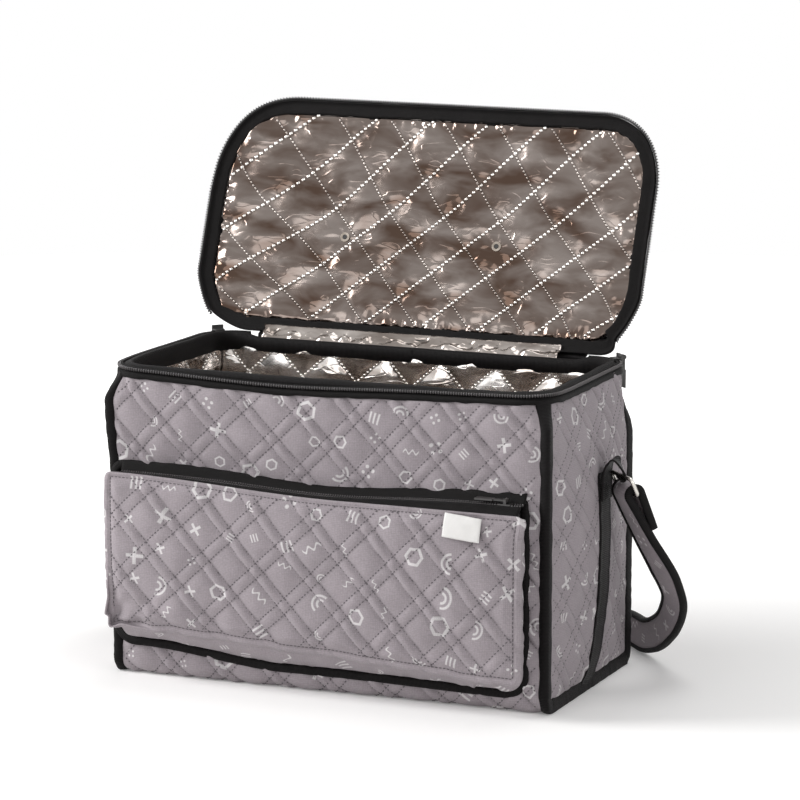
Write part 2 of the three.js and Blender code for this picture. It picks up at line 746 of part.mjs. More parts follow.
const bagFront = -halfDepth - gap;
const pocketBack = bagFront - pocketStand;
const pocketInner = pocketBack + gap;
const bindingSection = rectangle(0, 7, bagFront - webbingThickness, bagFront);
addPiece(bag, "pocket_binding", sweep(pocketPath(true), bindingSection, true), blackTape);
const gussetThickness = 1.6;
const gussetSection = rectangle(-0.4 - gussetThickness, -0.4, pocketInner, bagFront);
addPiece(bag, "pocket_gusset", sweep(pocketPath(false), gussetSection), canvasCloth);

function pocketFace(x, z) {
  const u = (x - pocketCentre) / (pocketHalf + 2);
  const v = (z - pocketMiddle) / pocketHalfHeight;
  return pocketBack - canvasThickness - pocketSwell * (1 - u ** 4) * (1 - v ** 2);
}
const pocketPanel = softPanel(even(12), even(8), (u, v, inside) => {
  const x = pocketCentre + (2 * u - 1) * (pocketHalf + 2);
  const z = pocketBottom + v * (pocketTop - pocketBottom);
  return new THREE.Vector3(x, pocketFace(x, z) + (inside ? canvasThickness : 0), z);
});
addPiece(bag, "pocket_front", pocketPanel, canvasCloth);
const label = softPanel(even(4), even(3), (u, v, inside) => {
  const x = labelX + (u - 0.5) * labelWidth;
  const z = labelZ + (v - 0.5) * labelHeight;
  return new THREE.Vector3(x, pocketFace(x, z) - 0.5 - (inside ? 0 : 0.8), z);
});
addPiece(bag, "label", label, labelCloth);

// Pocket zip: two tapes across the top, each with a coil along the slot between them.
const pocketZipEnd = pocketHalf - 0.4 - gussetThickness - gap;
const pocketLevel = pocketTop - 3.3;
const slotMiddle = (bagFront + pocketInner) / 2;
const pocketCoil = 2.2;
const slotBack = slotMiddle + pocketSlot / 2;
const slotFront = slotMiddle - pocketSlot / 2;
const [zipLeft, zipRight] = [pocketCentre - pocketZipEnd, pocketCentre + pocketZipEnd];
const pocketStrips = [
  ["pocket_zip_tape_back", slotBack + pocketCoil + gap, bagFront, 0.7],
  ["pocket_zip_coil_back", slotBack, slotBack + pocketCoil, 1.3],
  ["pocket_zip_coil_front", slotFront - pocketCoil, slotFront, 1.3],
  ["pocket_zip_tape_front", pocketInner, slotFront - pocketCoil - gap, 0.7],
];
for (const [name, from, to, half] of pocketStrips) {
  const strip = block([zipLeft, from, pocketLevel - half], [zipRight, to, pocketLevel + half]);
  addPiece(bag, name, strip, blackTape);
}

const plateHalf = pocketSlot / 2 + pocketCoil - 0.2;
const postHalf = pocketSlot / 2 - sliderClearance;
const plateLow = 1.3 + 0.4;
const plateHigh = plateLow + 1.4;
const pocketSliderHalf = 5.5;
const pocketSliderBody = join(
  block(
    [pocketSliderX - pocketSliderHalf, slotMiddle - plateHalf, pocketLevel + plateLow],
    [pocketSliderX + pocketSliderHalf, slotMiddle + plateHalf, pocketLevel + plateHigh],
  ),
  block(
    [pocketSliderX - pocketSliderHalf, slotMiddle - plateHalf, pocketLevel - plateHigh],
    [pocketSliderX + pocketSliderHalf, slotMiddle + plateHalf, pocketLevel - plateLow],
  ),
  block(
    [pocketSliderX - pocketSliderHalf, slotMiddle - postHalf, pocketLevel - plateLow - 0.2],
    [pocketSliderX + pocketSliderHalf, slotMiddle + postHalf, pocketLevel + plateLow + 0.2],
  ),
);

// The same bracket and pull as on the main sliders, turned to lie along the zip.
const pocketBarZ = pocketLevel + plateHigh + eyeRadius + sliderClearance;
const toPocketTop = new THREE.Matrix4()
  .makeTranslation(pocketSliderX, slotMiddle, pocketBarZ)
  .multiply(new THREE.Matrix4().makeBasis(yAxis.clone().negate(), zAxis, xAxis.clone().negate()));
const pocketBracket = pullBracket(0, pocketLevel + plateHigh - pocketBarZ, 0, 0).applyMatrix4(toPocketTop);
const pocketPull = hangingPull(0, 0, 0).applyMatrix4(
  new THREE.Matrix4()
    .makeTranslation(pocketSliderX, slotMiddle, pocketBarZ)
    .multiply(new THREE.Matrix4().makeBasis(yAxis.clone().negate(), zAxis.clone().negate(), xAxis)),
);
addPiece(bag, "pocket_slider", join(pocketSliderBody, pocketBracket), blackMetal);
addPiece(bag, "pocket_pull", pocketPull, blackMetal);

// Side webbing up to a tab that holds the ring, then the ring on the tab's fold.
const webbing = softPanel(even(4), even(10), (u, v, inside) => {
  const y = webbingY + (u - 0.5) * webbingWidth;
  const z = seamLeg + 1 + v * (webbingTop - seamLeg - 1);
  return new THREE.Vector3(halfWidth + swellAt(y, z) + gap + (inside ? 0 : webbingThickness), y, z);
});

// The ring's upper bar runs forwards and outwards; the ring hangs from it, held out by the stiff strap.
const barRun = new THREE.Vector3(1, -1, 0).normalize();
const barOut = new THREE.Vector3(1, 1, 0).normalize();
const barCentre = new THREE.Vector3(halfWidth + ringStandOff, ringY, ringZ);
const ringDown = barOut.clone().multiplyScalar(0.4).addScaledVector(zAxis, -0.9165).normalize();

const tabRadius = wireRadius + gap + 0.1 + webbingThickness / 2;
const tabStand = halfWidth + 2 * gap + webbingThickness * 1.5 + 0.1;
const onWebbing = (out, z) => new THREE.Vector3(tabStand + swellAt(webbingY, z) + out, webbingY, z);
const tabWidth = 20;
const frontward = yAxis.clone().negate();
const tabRoute = [
  [onWebbing(0, webbingTop - 18), 0],
  [onWebbing(0, webbingTop - 8), 0],
  [onWebbing(0.4, webbingTop), 0.1],
  [onWebbing(4, ringZ + 2.5), 0.5],
  [barCentre.clone().addScaledVector(barOut, -2.2 * tabRadius).addScaledVector(zAxis, tabRadius), 1],
];
for (let i = 0; i <= 8; i += 1) {
  const turn = THREE.MathUtils.degToRad(100 - 30 * i);
  const point = barCentre.clone();
  point.addScaledVector(barOut, tabRadius * Math.cos(turn));
  point.addScaledVector(zAxis, tabRadius * Math.sin(turn));
  tabRoute.push([point, 1]);
}
const tabFrames = tabRoute.map(([origin, twist], i) => {
  const run = tabRoute[Math.min(i + 1, tabRoute.length - 1)][0].clone().sub(tabRoute[Math.max(i - 1, 0)][0]);
  const across = frontward.clone().lerp(barRun, twist);
  across.addScaledVector(run, -across.dot(run) / run.lengthSq()).normalize();
  return { origin, across, up: run.normalize().cross(across).normalize() };
});
const tab = sweep(
  tabFrames,
  rectangle(-tabWidth / 2, tabWidth / 2, -webbingThickness / 2, webbingThickness / 2),
);

const ringHalf = ringWidth / 2 + wireRadius;
const ringCorner = 4;
const wire = Array.from({ length: 8 }, (_, i) => [
  wireRadius * Math.cos((Math.PI * i) / 4),
  wireRadius * Math.sin((Math.PI * i) / 4),
]);
const ringNormal = barRun.clone().cross(ringDown).normalize();
const ringFrames = [];
const ringCorners = [[1, 0, 1.5], [1, 1, 0], [-1, 1, 0.5], [-1, 0, 1]];
for (const [su, lower, start] of ringCorners) {
  for (let i = 0; i <= 3; i += 1) {
    const turn = (start + i / 6) * Math.PI;
    const [c, s] = [Math.cos(turn), Math.sin(turn)];
    const across = barRun.clone().multiplyScalar(c).addScaledVector(ringDown, s);
    const u = su * (ringHalf - ringCorner) + c * ringCorner;
    const v = (lower ? ringLength - ringCorner : ringCorner) + s * ringCorner;
    const origin = barCentre.clone().addScaledVector(barRun, u).addScaledVector(ringDown, v);
    ringFrames.push({ origin, across, up: ringNormal });
  }
}
const ring = sweep(ringFrames, wire, true);
for (const [side, shape] of [["right", (g) => g], ["left", mirrored]]) {
  addPiece(bag, `${side}_webbing`, shape(webbing), blackTape);
  addPiece(bag, `${side}_ring_tab`, shape(tab), blackTape);
  addPiece(bag, `${side}_ring`, shape(ring), nickel);
}

// Shoulder strap: folded over each ring's lower bar, down to the floor and round behind the bag on its edge.
// Each stop is a place on its middle line and the way its front edge points there.
const lowerBar = barCentre.clone().addScaledVector(ringDown, ringLength);
const down = new THREE.Vector3(0, 0, -1);
const strapFloor = strapWidth / 2 + 0.7;
const foldRun = new THREE.Vector3(0.277, 0.352, -0.894).normalize();
const foldOut = barRun.clone().cross(foldRun).normalize();
const foldOffset = wireRadius + 0.5 + strapEdge / 2;
const strapStart = lowerBar.clone().addScaledVector(foldOut, foldOffset);
const strapStops = [
  [strapStart, barRun],
  [strapStart.clone().addScaledVector(foldRun, 45), barRun],
  [new THREE.Vector3(262, 44, 78), barRun],
  [new THREE.Vector3(255, 78, 51), new THREE.Vector3(0.55, -0.45, -0.7)],
  [new THREE.Vector3(228, 114, 33), new THREE.Vector3(0.15, -0.2, -0.97)],
  [new THREE.Vector3(206, 145, strapFloor + 3), down],
  [new THREE.Vector3(182, 167, strapFloor), down],
  [new THREE.Vector3(122, 190, strapFloor), down],
  [new THREE.Vector3(60, 200, strapFloor), down],
  [new THREE.Vector3(0, 203, strapFloor), down],
];
const strapHalf = [];
for (const along of [strapFold, strapFold / 2, 0]) {
  const origin = lowerBar.clone().addScaledVector(foldOut, -foldOffset).addScaledVector(foldRun, along);
  strapHalf.push({ origin, across: barRun });
}
for (let i = 1; i < 8; i += 1) {
  const turn = (Math.PI * i) / 8;
  const origin = lowerBar.clone().addScaledVector(foldOut, -foldOffset * Math.cos(turn));
  strapHalf.push({ origin: origin.addScaledVector(foldRun, -foldOffset * Math.sin(turn)), across: barRun });
}
const strapLine = new THREE.CatmullRomCurve3(strapStops.map(([place]) => place), false, "centripetal");
const strapLean = new THREE.CatmullRomCurve3(strapStops.map(([, lean]) => lean));
const strapSteps = 30;
for (let i = 0; i <= strapSteps; i += 1) {
  strapHalf.push({ origin: strapLine.getPoint(i / strapSteps), across: strapLean.getPoint(i / strapSteps) });
}
const flipX = (v) => new THREE.Vector3(-v.x, v.y, v.z);
const strapLeft = strapHalf.slice(0, -1).map(({ origin, across }) => {
  return { origin: flipX(origin), across: flipX(across) };
});
const strapWhole = strapHalf.concat(strapLeft.reverse());
const strapFrames = strapWhole.map(({ origin, across }, i) => {
  const before = strapWhole[Math.max(i - 1, 0)];
  const after = strapWhole[Math.min(i + 1, strapWhole.length - 1)];
  const run = after.origin.clone().sub(before.origin).normalize();
  const edge = across.clone().addScaledVector(run, -across.dot(run)).normalize();
  return { origin, across: edge, up: edge.clone().cross(run) };
});
const strapInner = strapWidth / 2 - strapBinding;
const bandSection = rectangle(-strapInner + 2 * gap, strapInner - 2 * gap, -strapPad / 2, strapPad / 2);
const frontEdge = rectangle(strapInner, strapWidth / 2, -strapEdge / 2, strapEdge / 2);
const rearEdge = rectangle(-strapWidth / 2, -strapInner, -strapEdge / 2, strapEdge / 2);
addPiece(bag, "strap_band", sweep(strapFrames, bandSection), canvasCloth);
addPiece(bag, "strap_front_binding", sweep(strapFrames, frontEdge), blackTape);
addPiece(bag, "strap_rear_binding", sweep(strapFrames, rearEdge), blackTape);

export default bag;
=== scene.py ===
import math

import bpy
import numpy as np
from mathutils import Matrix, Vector


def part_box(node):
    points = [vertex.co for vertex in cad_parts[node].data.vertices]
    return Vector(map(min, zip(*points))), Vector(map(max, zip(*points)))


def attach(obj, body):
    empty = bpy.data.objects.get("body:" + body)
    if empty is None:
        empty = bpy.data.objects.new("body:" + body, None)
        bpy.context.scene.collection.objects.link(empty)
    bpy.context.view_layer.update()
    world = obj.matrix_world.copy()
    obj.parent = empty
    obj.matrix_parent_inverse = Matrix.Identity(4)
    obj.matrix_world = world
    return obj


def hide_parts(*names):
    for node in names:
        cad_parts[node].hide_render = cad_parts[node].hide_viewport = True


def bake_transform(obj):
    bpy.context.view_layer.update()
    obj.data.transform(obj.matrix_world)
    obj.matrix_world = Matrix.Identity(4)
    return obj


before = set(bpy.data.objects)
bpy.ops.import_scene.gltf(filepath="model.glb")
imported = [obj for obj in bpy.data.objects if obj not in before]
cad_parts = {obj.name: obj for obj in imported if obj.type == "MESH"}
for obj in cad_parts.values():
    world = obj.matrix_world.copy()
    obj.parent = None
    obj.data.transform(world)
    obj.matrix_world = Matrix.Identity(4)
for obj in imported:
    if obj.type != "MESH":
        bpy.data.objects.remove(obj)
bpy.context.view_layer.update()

# Camera: a long lens in front of the bag and to its right, a little above it,
# as far off as a product photograph is taken.
MM = 0.001
view_turn, view_rise, view_distance = math.radians(22.6), math.radians(10.7), 3.81
aim = Vector((25.0, 0.0, 239.0)) * MM
camera_data = bpy.data.cameras.new("camera")
camera_data.sensor_width = 36.0
camera_data.lens = 198.3
camera = bpy.data.objects.new("camera", camera_data)
toward = Vector((
    math.sin(view_turn) * math.cos(view_rise),
    -math.cos(view_turn) * math.cos(view_rise),
    math.sin(view_rise),
))
camera.location = aim + toward * view_distance
camera.rotation_euler = toward.to_track_quat("Z", "Y").to_euler()
bpy.context.scene.collection.objects.link(camera)
bpy.context.scene.camera = camera
bpy.context.scene.view_settings.view_transform = "Standard"

# Studio: a plain near-white floor of painted board, an even white surround, a large softbox
# high on the left, weaker ones on the right and overhead, and a low one in front.


def linear(code):
    """Linear RGBA of an sRGB hex colour."""
    parts = [int(code[i:i + 2], 16) / 255 for i in (1, 3, 5)]
    return [p / 12.92 if p <= 0.04045 else ((p + 0.055) / 1.055) ** 2.4 for p in parts] + [1.0]


def add(tree, kind, links=None, out=0, **settings):
    """Adds a shader node with its settings, links or sets its inputs, and gives one of its outputs."""
    made = tree.nodes.new("ShaderNode" + kind)
    for name, value in settings.items():
        setattr(made, name, value)
    for name, value in (links or {}).items():
        if isinstance(value, bpy.types.NodeSocket):
            tree.links.new(value, made.inputs[name])
        else:
            made.inputs[name].default_value = value
    return made.outputs[out] if made.outputs else None


def seen_directly(tree):
    """1 for what the camera sees, also in a mirror or through glass, and 0 for light that falls on things."""
    seen = add(tree, "LightPath", out="Is Camera Ray")
    for ray in ("Is Glossy Ray", "Is Transmission Ray"):
        seen = add(tree, "Math", {0: seen, 1: add(tree, "LightPath", out=ray)}, operation="MAXIMUM")
    return seen


world = bpy.data.worlds.new("studio")
world.use_nodes = True
tree = world.node_tree
tree.nodes.clear()
strength = add(tree, "MapRange", {"Value": seen_directly(tree), "To Min": 0.27, "To Max": 1.0})
surround = add(tree, "Background", {"Color": linear("#ffffff"), "Strength": strength})
add(tree, "OutputWorld", {"Surface": surround})
bpy.context.scene.world = world

for name, place, size, power in (
    ("key_softbox", (-2.75, -1.0, 1.7), 1.5, 98.0),
    ("fill_softbox", (2.0, -1.1, 1.3), 1.6, 17.0),
    ("top_softbox", (0.2, 0.7, 2.3), 1.6, 15.0),
    ("front_softbox", (-0.9, -2.7, 0.6), 1.6, 12.0),
):
    lamp_data = bpy.data.lights.new(name, "AREA")
    lamp_data.shape = "DISK"
    lamp_data.size = size
    lamp_data.energy = power
    lamp = bpy.data.objects.new(name, lamp_data)
    lamp.location = place
    lamp.rotation_euler = (Vector(place) - Vector((0, 0, 0.2))).to_track_quat("Z", "Y").to_euler()
    bpy.context.scene.collection.objects.link(lamp)


def bare_finish(name):
    """A new material with an empty node tree, and that tree."""
    finish = bpy.data.materials.new(name)
    finish.use_nodes = True
    finish.node_tree.nodes.clear()
    return finish, finish.node_tree


# Painted board: matt, near white and faintly mottled in patches of a third of a metre. Away from the bag it
# glows where it is seen directly, so that it runs into the white surround and still keeps the bag's shadow.
board_finish, tree = bare_finish("painted_board")
mottle = add(tree, "TexNoise", {"Scale": 1 / (333 * MM)})
shade = add(tree, "Mix", {
    "Factor": mottle, "A": linear("#f6f5f4"), "B": linear("#fbfaf9"),
}, out="Result", data_type="RGBA")
board = add(tree, "BsdfPrincipled", {"Base Color": shade, "Roughness": 0.9, "Specular IOR Level": 0.1})
from_bag = add(tree, "VectorMath", {0: add(tree, "TexCoord", out="Object")}, out="Value", operation="LENGTH")
lit = add(tree, "MapRange", {
    "Value": from_bag, "From Min": 0.3, "From Max": 1.3, "To Min": 0.13, "To Max": 0.7,
})
lit = add(tree, "Math", {0: lit, 1: seen_directly(tree)}, operation="MULTIPLY")
glow = add(tree, "Emission", {"Color": linear("#ffffff"), "Strength": lit})
add(tree, "OutputMaterial", {"Surface": add(tree, "AddShader", {0: board, 1: glow})})
FLOOR_RADIUS, FLOOR_LEVEL = 2.4, -0.0008
bpy.ops.mesh.primitive_circle_add(
    vertices=96, radius=FLOOR_RADIUS, fill_type="NGON", location=(0, 0, FLOOR_LEVEL))
floor = bpy.context.object
floor.name = "floor"
floor.data.materials.append(board_finish)

# Outer wrap: one panel of printed polyester canvas, machine quilted to wadding in crossed pairs of
# stitch lines, which runs down the front, under the base and up the back.
HALF_W, HALF_D, WALL = 200.0, 102.0, 266.0
FOLD, SEAM, CORNER = 14.0, 9.0, 32.0
WRAP_HALF, CANVAS_DEPTH = 196.0, 2.2
QUILT_LINES = ((math.radians(-47.5), 35.8), (math.radians(45.7), 38.0))
QUILT_SPLIT = 10.0


def mesh_object(name, points, faces, finish, cloth=None):
    """Closed mesh, turned to face out, from points in mm and arrays of three- and four-sided faces."""
    points = np.asarray(points, float)
    faces = [f for f in faces if len(f)]
    volume = sum(
        np.einsum("ij,ij->", points[f[:, 0]], np.cross(points[f[:, k]], points[f[:, k + 1]]))
        for f in faces for k in range(1, f.shape[1] - 1))
    if volume < 0:
        faces = [f[:, ::-1] for f in faces]
    corners = np.concatenate([f.ravel() for f in faces])
    counts = np.concatenate([np.full(len(f), f.shape[1]) for f in faces])
    mesh = bpy.data.meshes.new(name)
    mesh.vertices.add(len(points))
    mesh.vertices.foreach_set("co", (points * MM).astype(np.float32).ravel())
    mesh.loops.add(len(corners))
    mesh.loops.foreach_set("vertex_index", corners.astype(np.int32))
    mesh.polygons.add(len(counts))
    firsts = np.concatenate([[0], np.cumsum(counts)[:-1]])
    mesh.polygons.foreach_set("loop_start", firsts.astype(np.int32))
    mesh.update(calc_edges=True)
    mesh.shade_smooth()
    if cloth is not None:
        layer = mesh.attributes.new("cloth", "FLOAT_VECTOR", "POINT")
        layer.data.foreach_set("vector", np.asarray(cloth).astype(np.float32).ravel())
    mesh.materials.append(finish)
    made = bpy.data.objects.new(name, mesh)
    bpy.context.scene.collection.objects.link(made)
    return made


def closed_panel(outer, inner, step):
    """Points and faces of a panel with a fine outer grid, a coarse inner grid and stitched edges."""
    nu, nv = outer.shape[:2]
    mu, mv = inner.shape[:2]
    fine = np.arange(nu * nv).reshape(nu, nv)
    rough = np.arange(mu * mv).reshape(mu, mv) + nu * nv
    top = np.stack([fine[:-1, :-1], fine[1:, :-1], fine[1:, 1:], fine[:-1, 1:]], -1).reshape(-1, 4)
    under = np.stack([rough[:-1, :-1], rough[:-1, 1:], rough[1:, 1:], rough[1:, :-1]], -1).reshape(-1, 4)
    sides = []
    for f, r in (
        (fine[:, 0], rough[:, 0]), (fine[-1, :], rough[-1, :]),
        (fine[::-1, -1], rough[::-1, -1]), (fine[0, ::-1], rough[0, ::-1]),
    ):
        near = np.repeat(r[:-1], step)
        sides.append(np.stack([f[1:], f[:-1], near], -1))
        sides.append(np.stack([f[step::step], r[:-1], r[1:]], -1))
    points = np.concatenate([outer.reshape(-1, 3), inner.reshape(-1, 3)])
    return points, [top, under, np.concatenate(sides)]


def stops(low, high, pitch, step):
    """Even stops from low to high about `pitch` apart, in a number that `step` divides."""
    count = max(1, round((high - low) / pitch / step)) * step
    return np.linspace(low, high, count + 1)


def unit(ways):
    """Directions at unit length."""
    return ways / np.maximum(np.linalg.norm(ways, axis=-1, keepdims=True), 1e-9)


def normals_of(points):
    """Unit normals of a grid of points."""
    return unit(np.cross(np.gradient(points, axis=0), np.gradient(points, axis=1)))


def ease(low, high, t):
    """Smooth step from 0 at low to 1 at high."""
    t = np.clip((t - low) / (high - low), 0, 1)
    return t * t * (3 - 2 * t)


def swell(x, y, size, seed):
    """Smooth random height between -1 and 1 with lumps about `size` mm across."""
    table = np.random.default_rng(seed).uniform(-1, 1, (97, 97))
    gx, gy = np.asarray(x) / size + 40, np.asarray(y) / size + 40
    ix, iy = np.floor(gx).astype(int), np.floor(gy).astype(int)
    fx, fy = gx - ix, gy - iy
    fx, fy = fx * fx * (3 - 2 * fx), fy * fy * (3 - 2 * fy)
    ix, iy = ix % 96, iy % 96
    low = table[ix, iy] * (1 - fx) + table[ix + 1, iy] * fx
    high = table[ix, iy + 1] * (1 - fx) + table[ix + 1, iy + 1] * fx
    return low * (1 - fy) + high * fy


def rounded(x, y, half_w, half_d, corner):
    """Moves points of a square-cornered rectangle to the same rectangle with round corners."""
    a, b = np.abs(x) - (half_w - corner), np.abs(y) - (half_d - corner)
    along, reach = np.minimum(a, b), np.maximum(a, b)
    inside = along > 0
    turn = np.where(inside, along / np.maximum(reach, 1e-6), 0) * math.pi / 4
    near, far = reach * np.sin(turn), reach * np.cos(turn)
    nx = np.sign(x) * (half_w - corner + np.where(a < b, near, far))
    ny = np.sign(y) * (half_d - corner + np.where(a < b, far, near))
    return np.where(inside, nx, x), np.where(inside, ny, y)


def gathered(points):
    """Draws the square corners of the walls in to the mouth's round corners towards the rim."""
    x, y, z = points[..., 0], points[..., 1], points[..., 2]
    nx, ny = rounded(x, y, HALF_W, HALF_D, CORNER)
    share = np.where(y < 0, ease(WALL - 26, WALL, z), ease(WALL - 61, WALL - 16, z))
    return np.stack([x + (nx - x) * share, y + (ny - y) * share, z], -1)


def rim_sag(x, y):
    """How far the soft mouth drops: the front edge hangs between its corners, the back stays up."""
    front = np.exp(-((x + 42) / 105) ** 2) * ease(-40, -95, y)
    return -5.6 * front + 1.2 * ease(110, 190, x) * ease(-40, -95, y)


def leaned(points):
    """Pushes the front left corner of the mouth out to the left, where the soft wall leans."""
    x, y, z = points[..., 0], points[..., 1], points[..., 2]
    lean = -6.5 * ease(150, 250, z) * ease(0, -185, x) * ease(85, -60, y)
    return points + lean[..., None] * np.array([1.0, 0, 0])


def sagged(points):
    """Lowers the top of a wall with the mouth and leans it."""
    drop = rim_sag(points[..., 0], points[..., 1]) * ease(120, WALL, points[..., 2])
    return leaned(points + drop[..., None] * np.array([0, 0, 1.0]))


def puff(u, v, lines=QUILT_LINES, split=QUILT_SPLIT, height=3.4, tie=0.5):
    """Height of quilted cloth over its stitch lines: ribs inside each pair, broad channels between."""
    crowns = []
    for (turn, pitch), rib in zip(lines, (1.12, 0.72)):
        across = np.mod(v * math.cos(turn) - u * math.sin(turn), pitch)
        narrow = across < split
        width = np.where(narrow, split, pitch - split)
        place = np.where(narrow, across, across - split) / width * 2 - 1
        crowns.append(np.where(narrow, rib, 1.0) * (1 - np.abs(place) ** 2.4))
    return height * crowns[0] * (1 - tie + tie * crowns[1])


def stitch_rows(
        spots, low, high, lines=QUILT_LINES, split=QUILT_SPLIT, pitch=3.5, length=1.9, inside=None):
    """Start and end of each stitch on the quilt lines inside a cloth rectangle."""
    starts, ends = [], []
    reach = math.hypot(*(np.asarray(high) - low)) / 2
    middle = (np.asarray(high) + low) / 2
    for turn, gap in lines:
        along = np.array([math.cos(turn), math.sin(turn)])
        cross = np.array([-math.sin(turn), math.cos(turn)])
        centre = middle @ cross
        for k in range(int((centre - reach) // gap), int((centre + reach) // gap) + 1):
            for offset in ([0.0, split] if split else [0.0]):
                t = np.arange(-reach, reach, pitch) + middle @ along + (k % 3)
                a = np.outer(t, along) + (k * gap + offset) * cross
                b = a + along * length
                kept = ((a > low) & (a < high) & (b > low) & (b < high)).all(1)
                if inside is not None:
                    kept = kept & inside(a[:, 0], a[:, 1])
                starts.append(a[kept])
                ends.append(b[kept])
    starts, ends = np.concatenate(starts), np.concatenate(ends)
    return spots(starts[:, 0], starts[:, 1]), spots(ends[:, 0], ends[:, 1])


def grains(starts, ends, up, width, height, sides=4):
    """Points and faces of many small closed grains, each from a start to an end: stitches, teeth, beads."""
    run = unit(ends - starts)
    side = unit(np.cross(run, up))
    up = np.cross(side, run)
    rings = []
    for share in (0.2, 0.8):
        middle = starts + (ends - starts) * share
        for k in range(sides):
            turn = 2 * math.pi * (k + 0.5) / sides
            rings.append(middle + side * math.cos(turn) * width / 2 + up * math.sin(turn) * height / 2)
    points = np.stack([starts, ends] + rings, 1)
    each = points.shape[1]
    near = [2 + k for k in range(sides)]
    far = [2 + sides + k for k in range(sides)]
    tris = [(0, near[(k + 1) % sides], near[k]) for k in range(sides)]
    tris += [(1, far[k], far[(k + 1) % sides]) for k in range(sides)]
    quads = [(near[k], near[(k + 1) % sides], far[(k + 1) % sides], far[k]) for k in range(sides)]
    base = (np.arange(len(starts)) * each)[:, None, None]
    faces = [(base + np.array(quads)).reshape(-1, 4), (base + np.array(tris)).reshape(-1, 3)]
    return points.reshape(-1, 3), faces


# Printed canvas: plain-woven polyester, soft and matt, dyed grey with a slight heather, with painted shade
# that darkens the stitched grooves, and screen printed with small off-white shapes in a scatter of cells 29
# mm wide.
# The threads are 0.5 mm apart and are drawn three times as coarse, so that they show. A wave texture
# repeats once a millimetre at a scale of 0.314.
WAVE_PER_MM = 0.314
WEAVE, HEATHER, FADE, PRINT_CELL = 3 * 0.5, 1.82, 28.6, 29.0


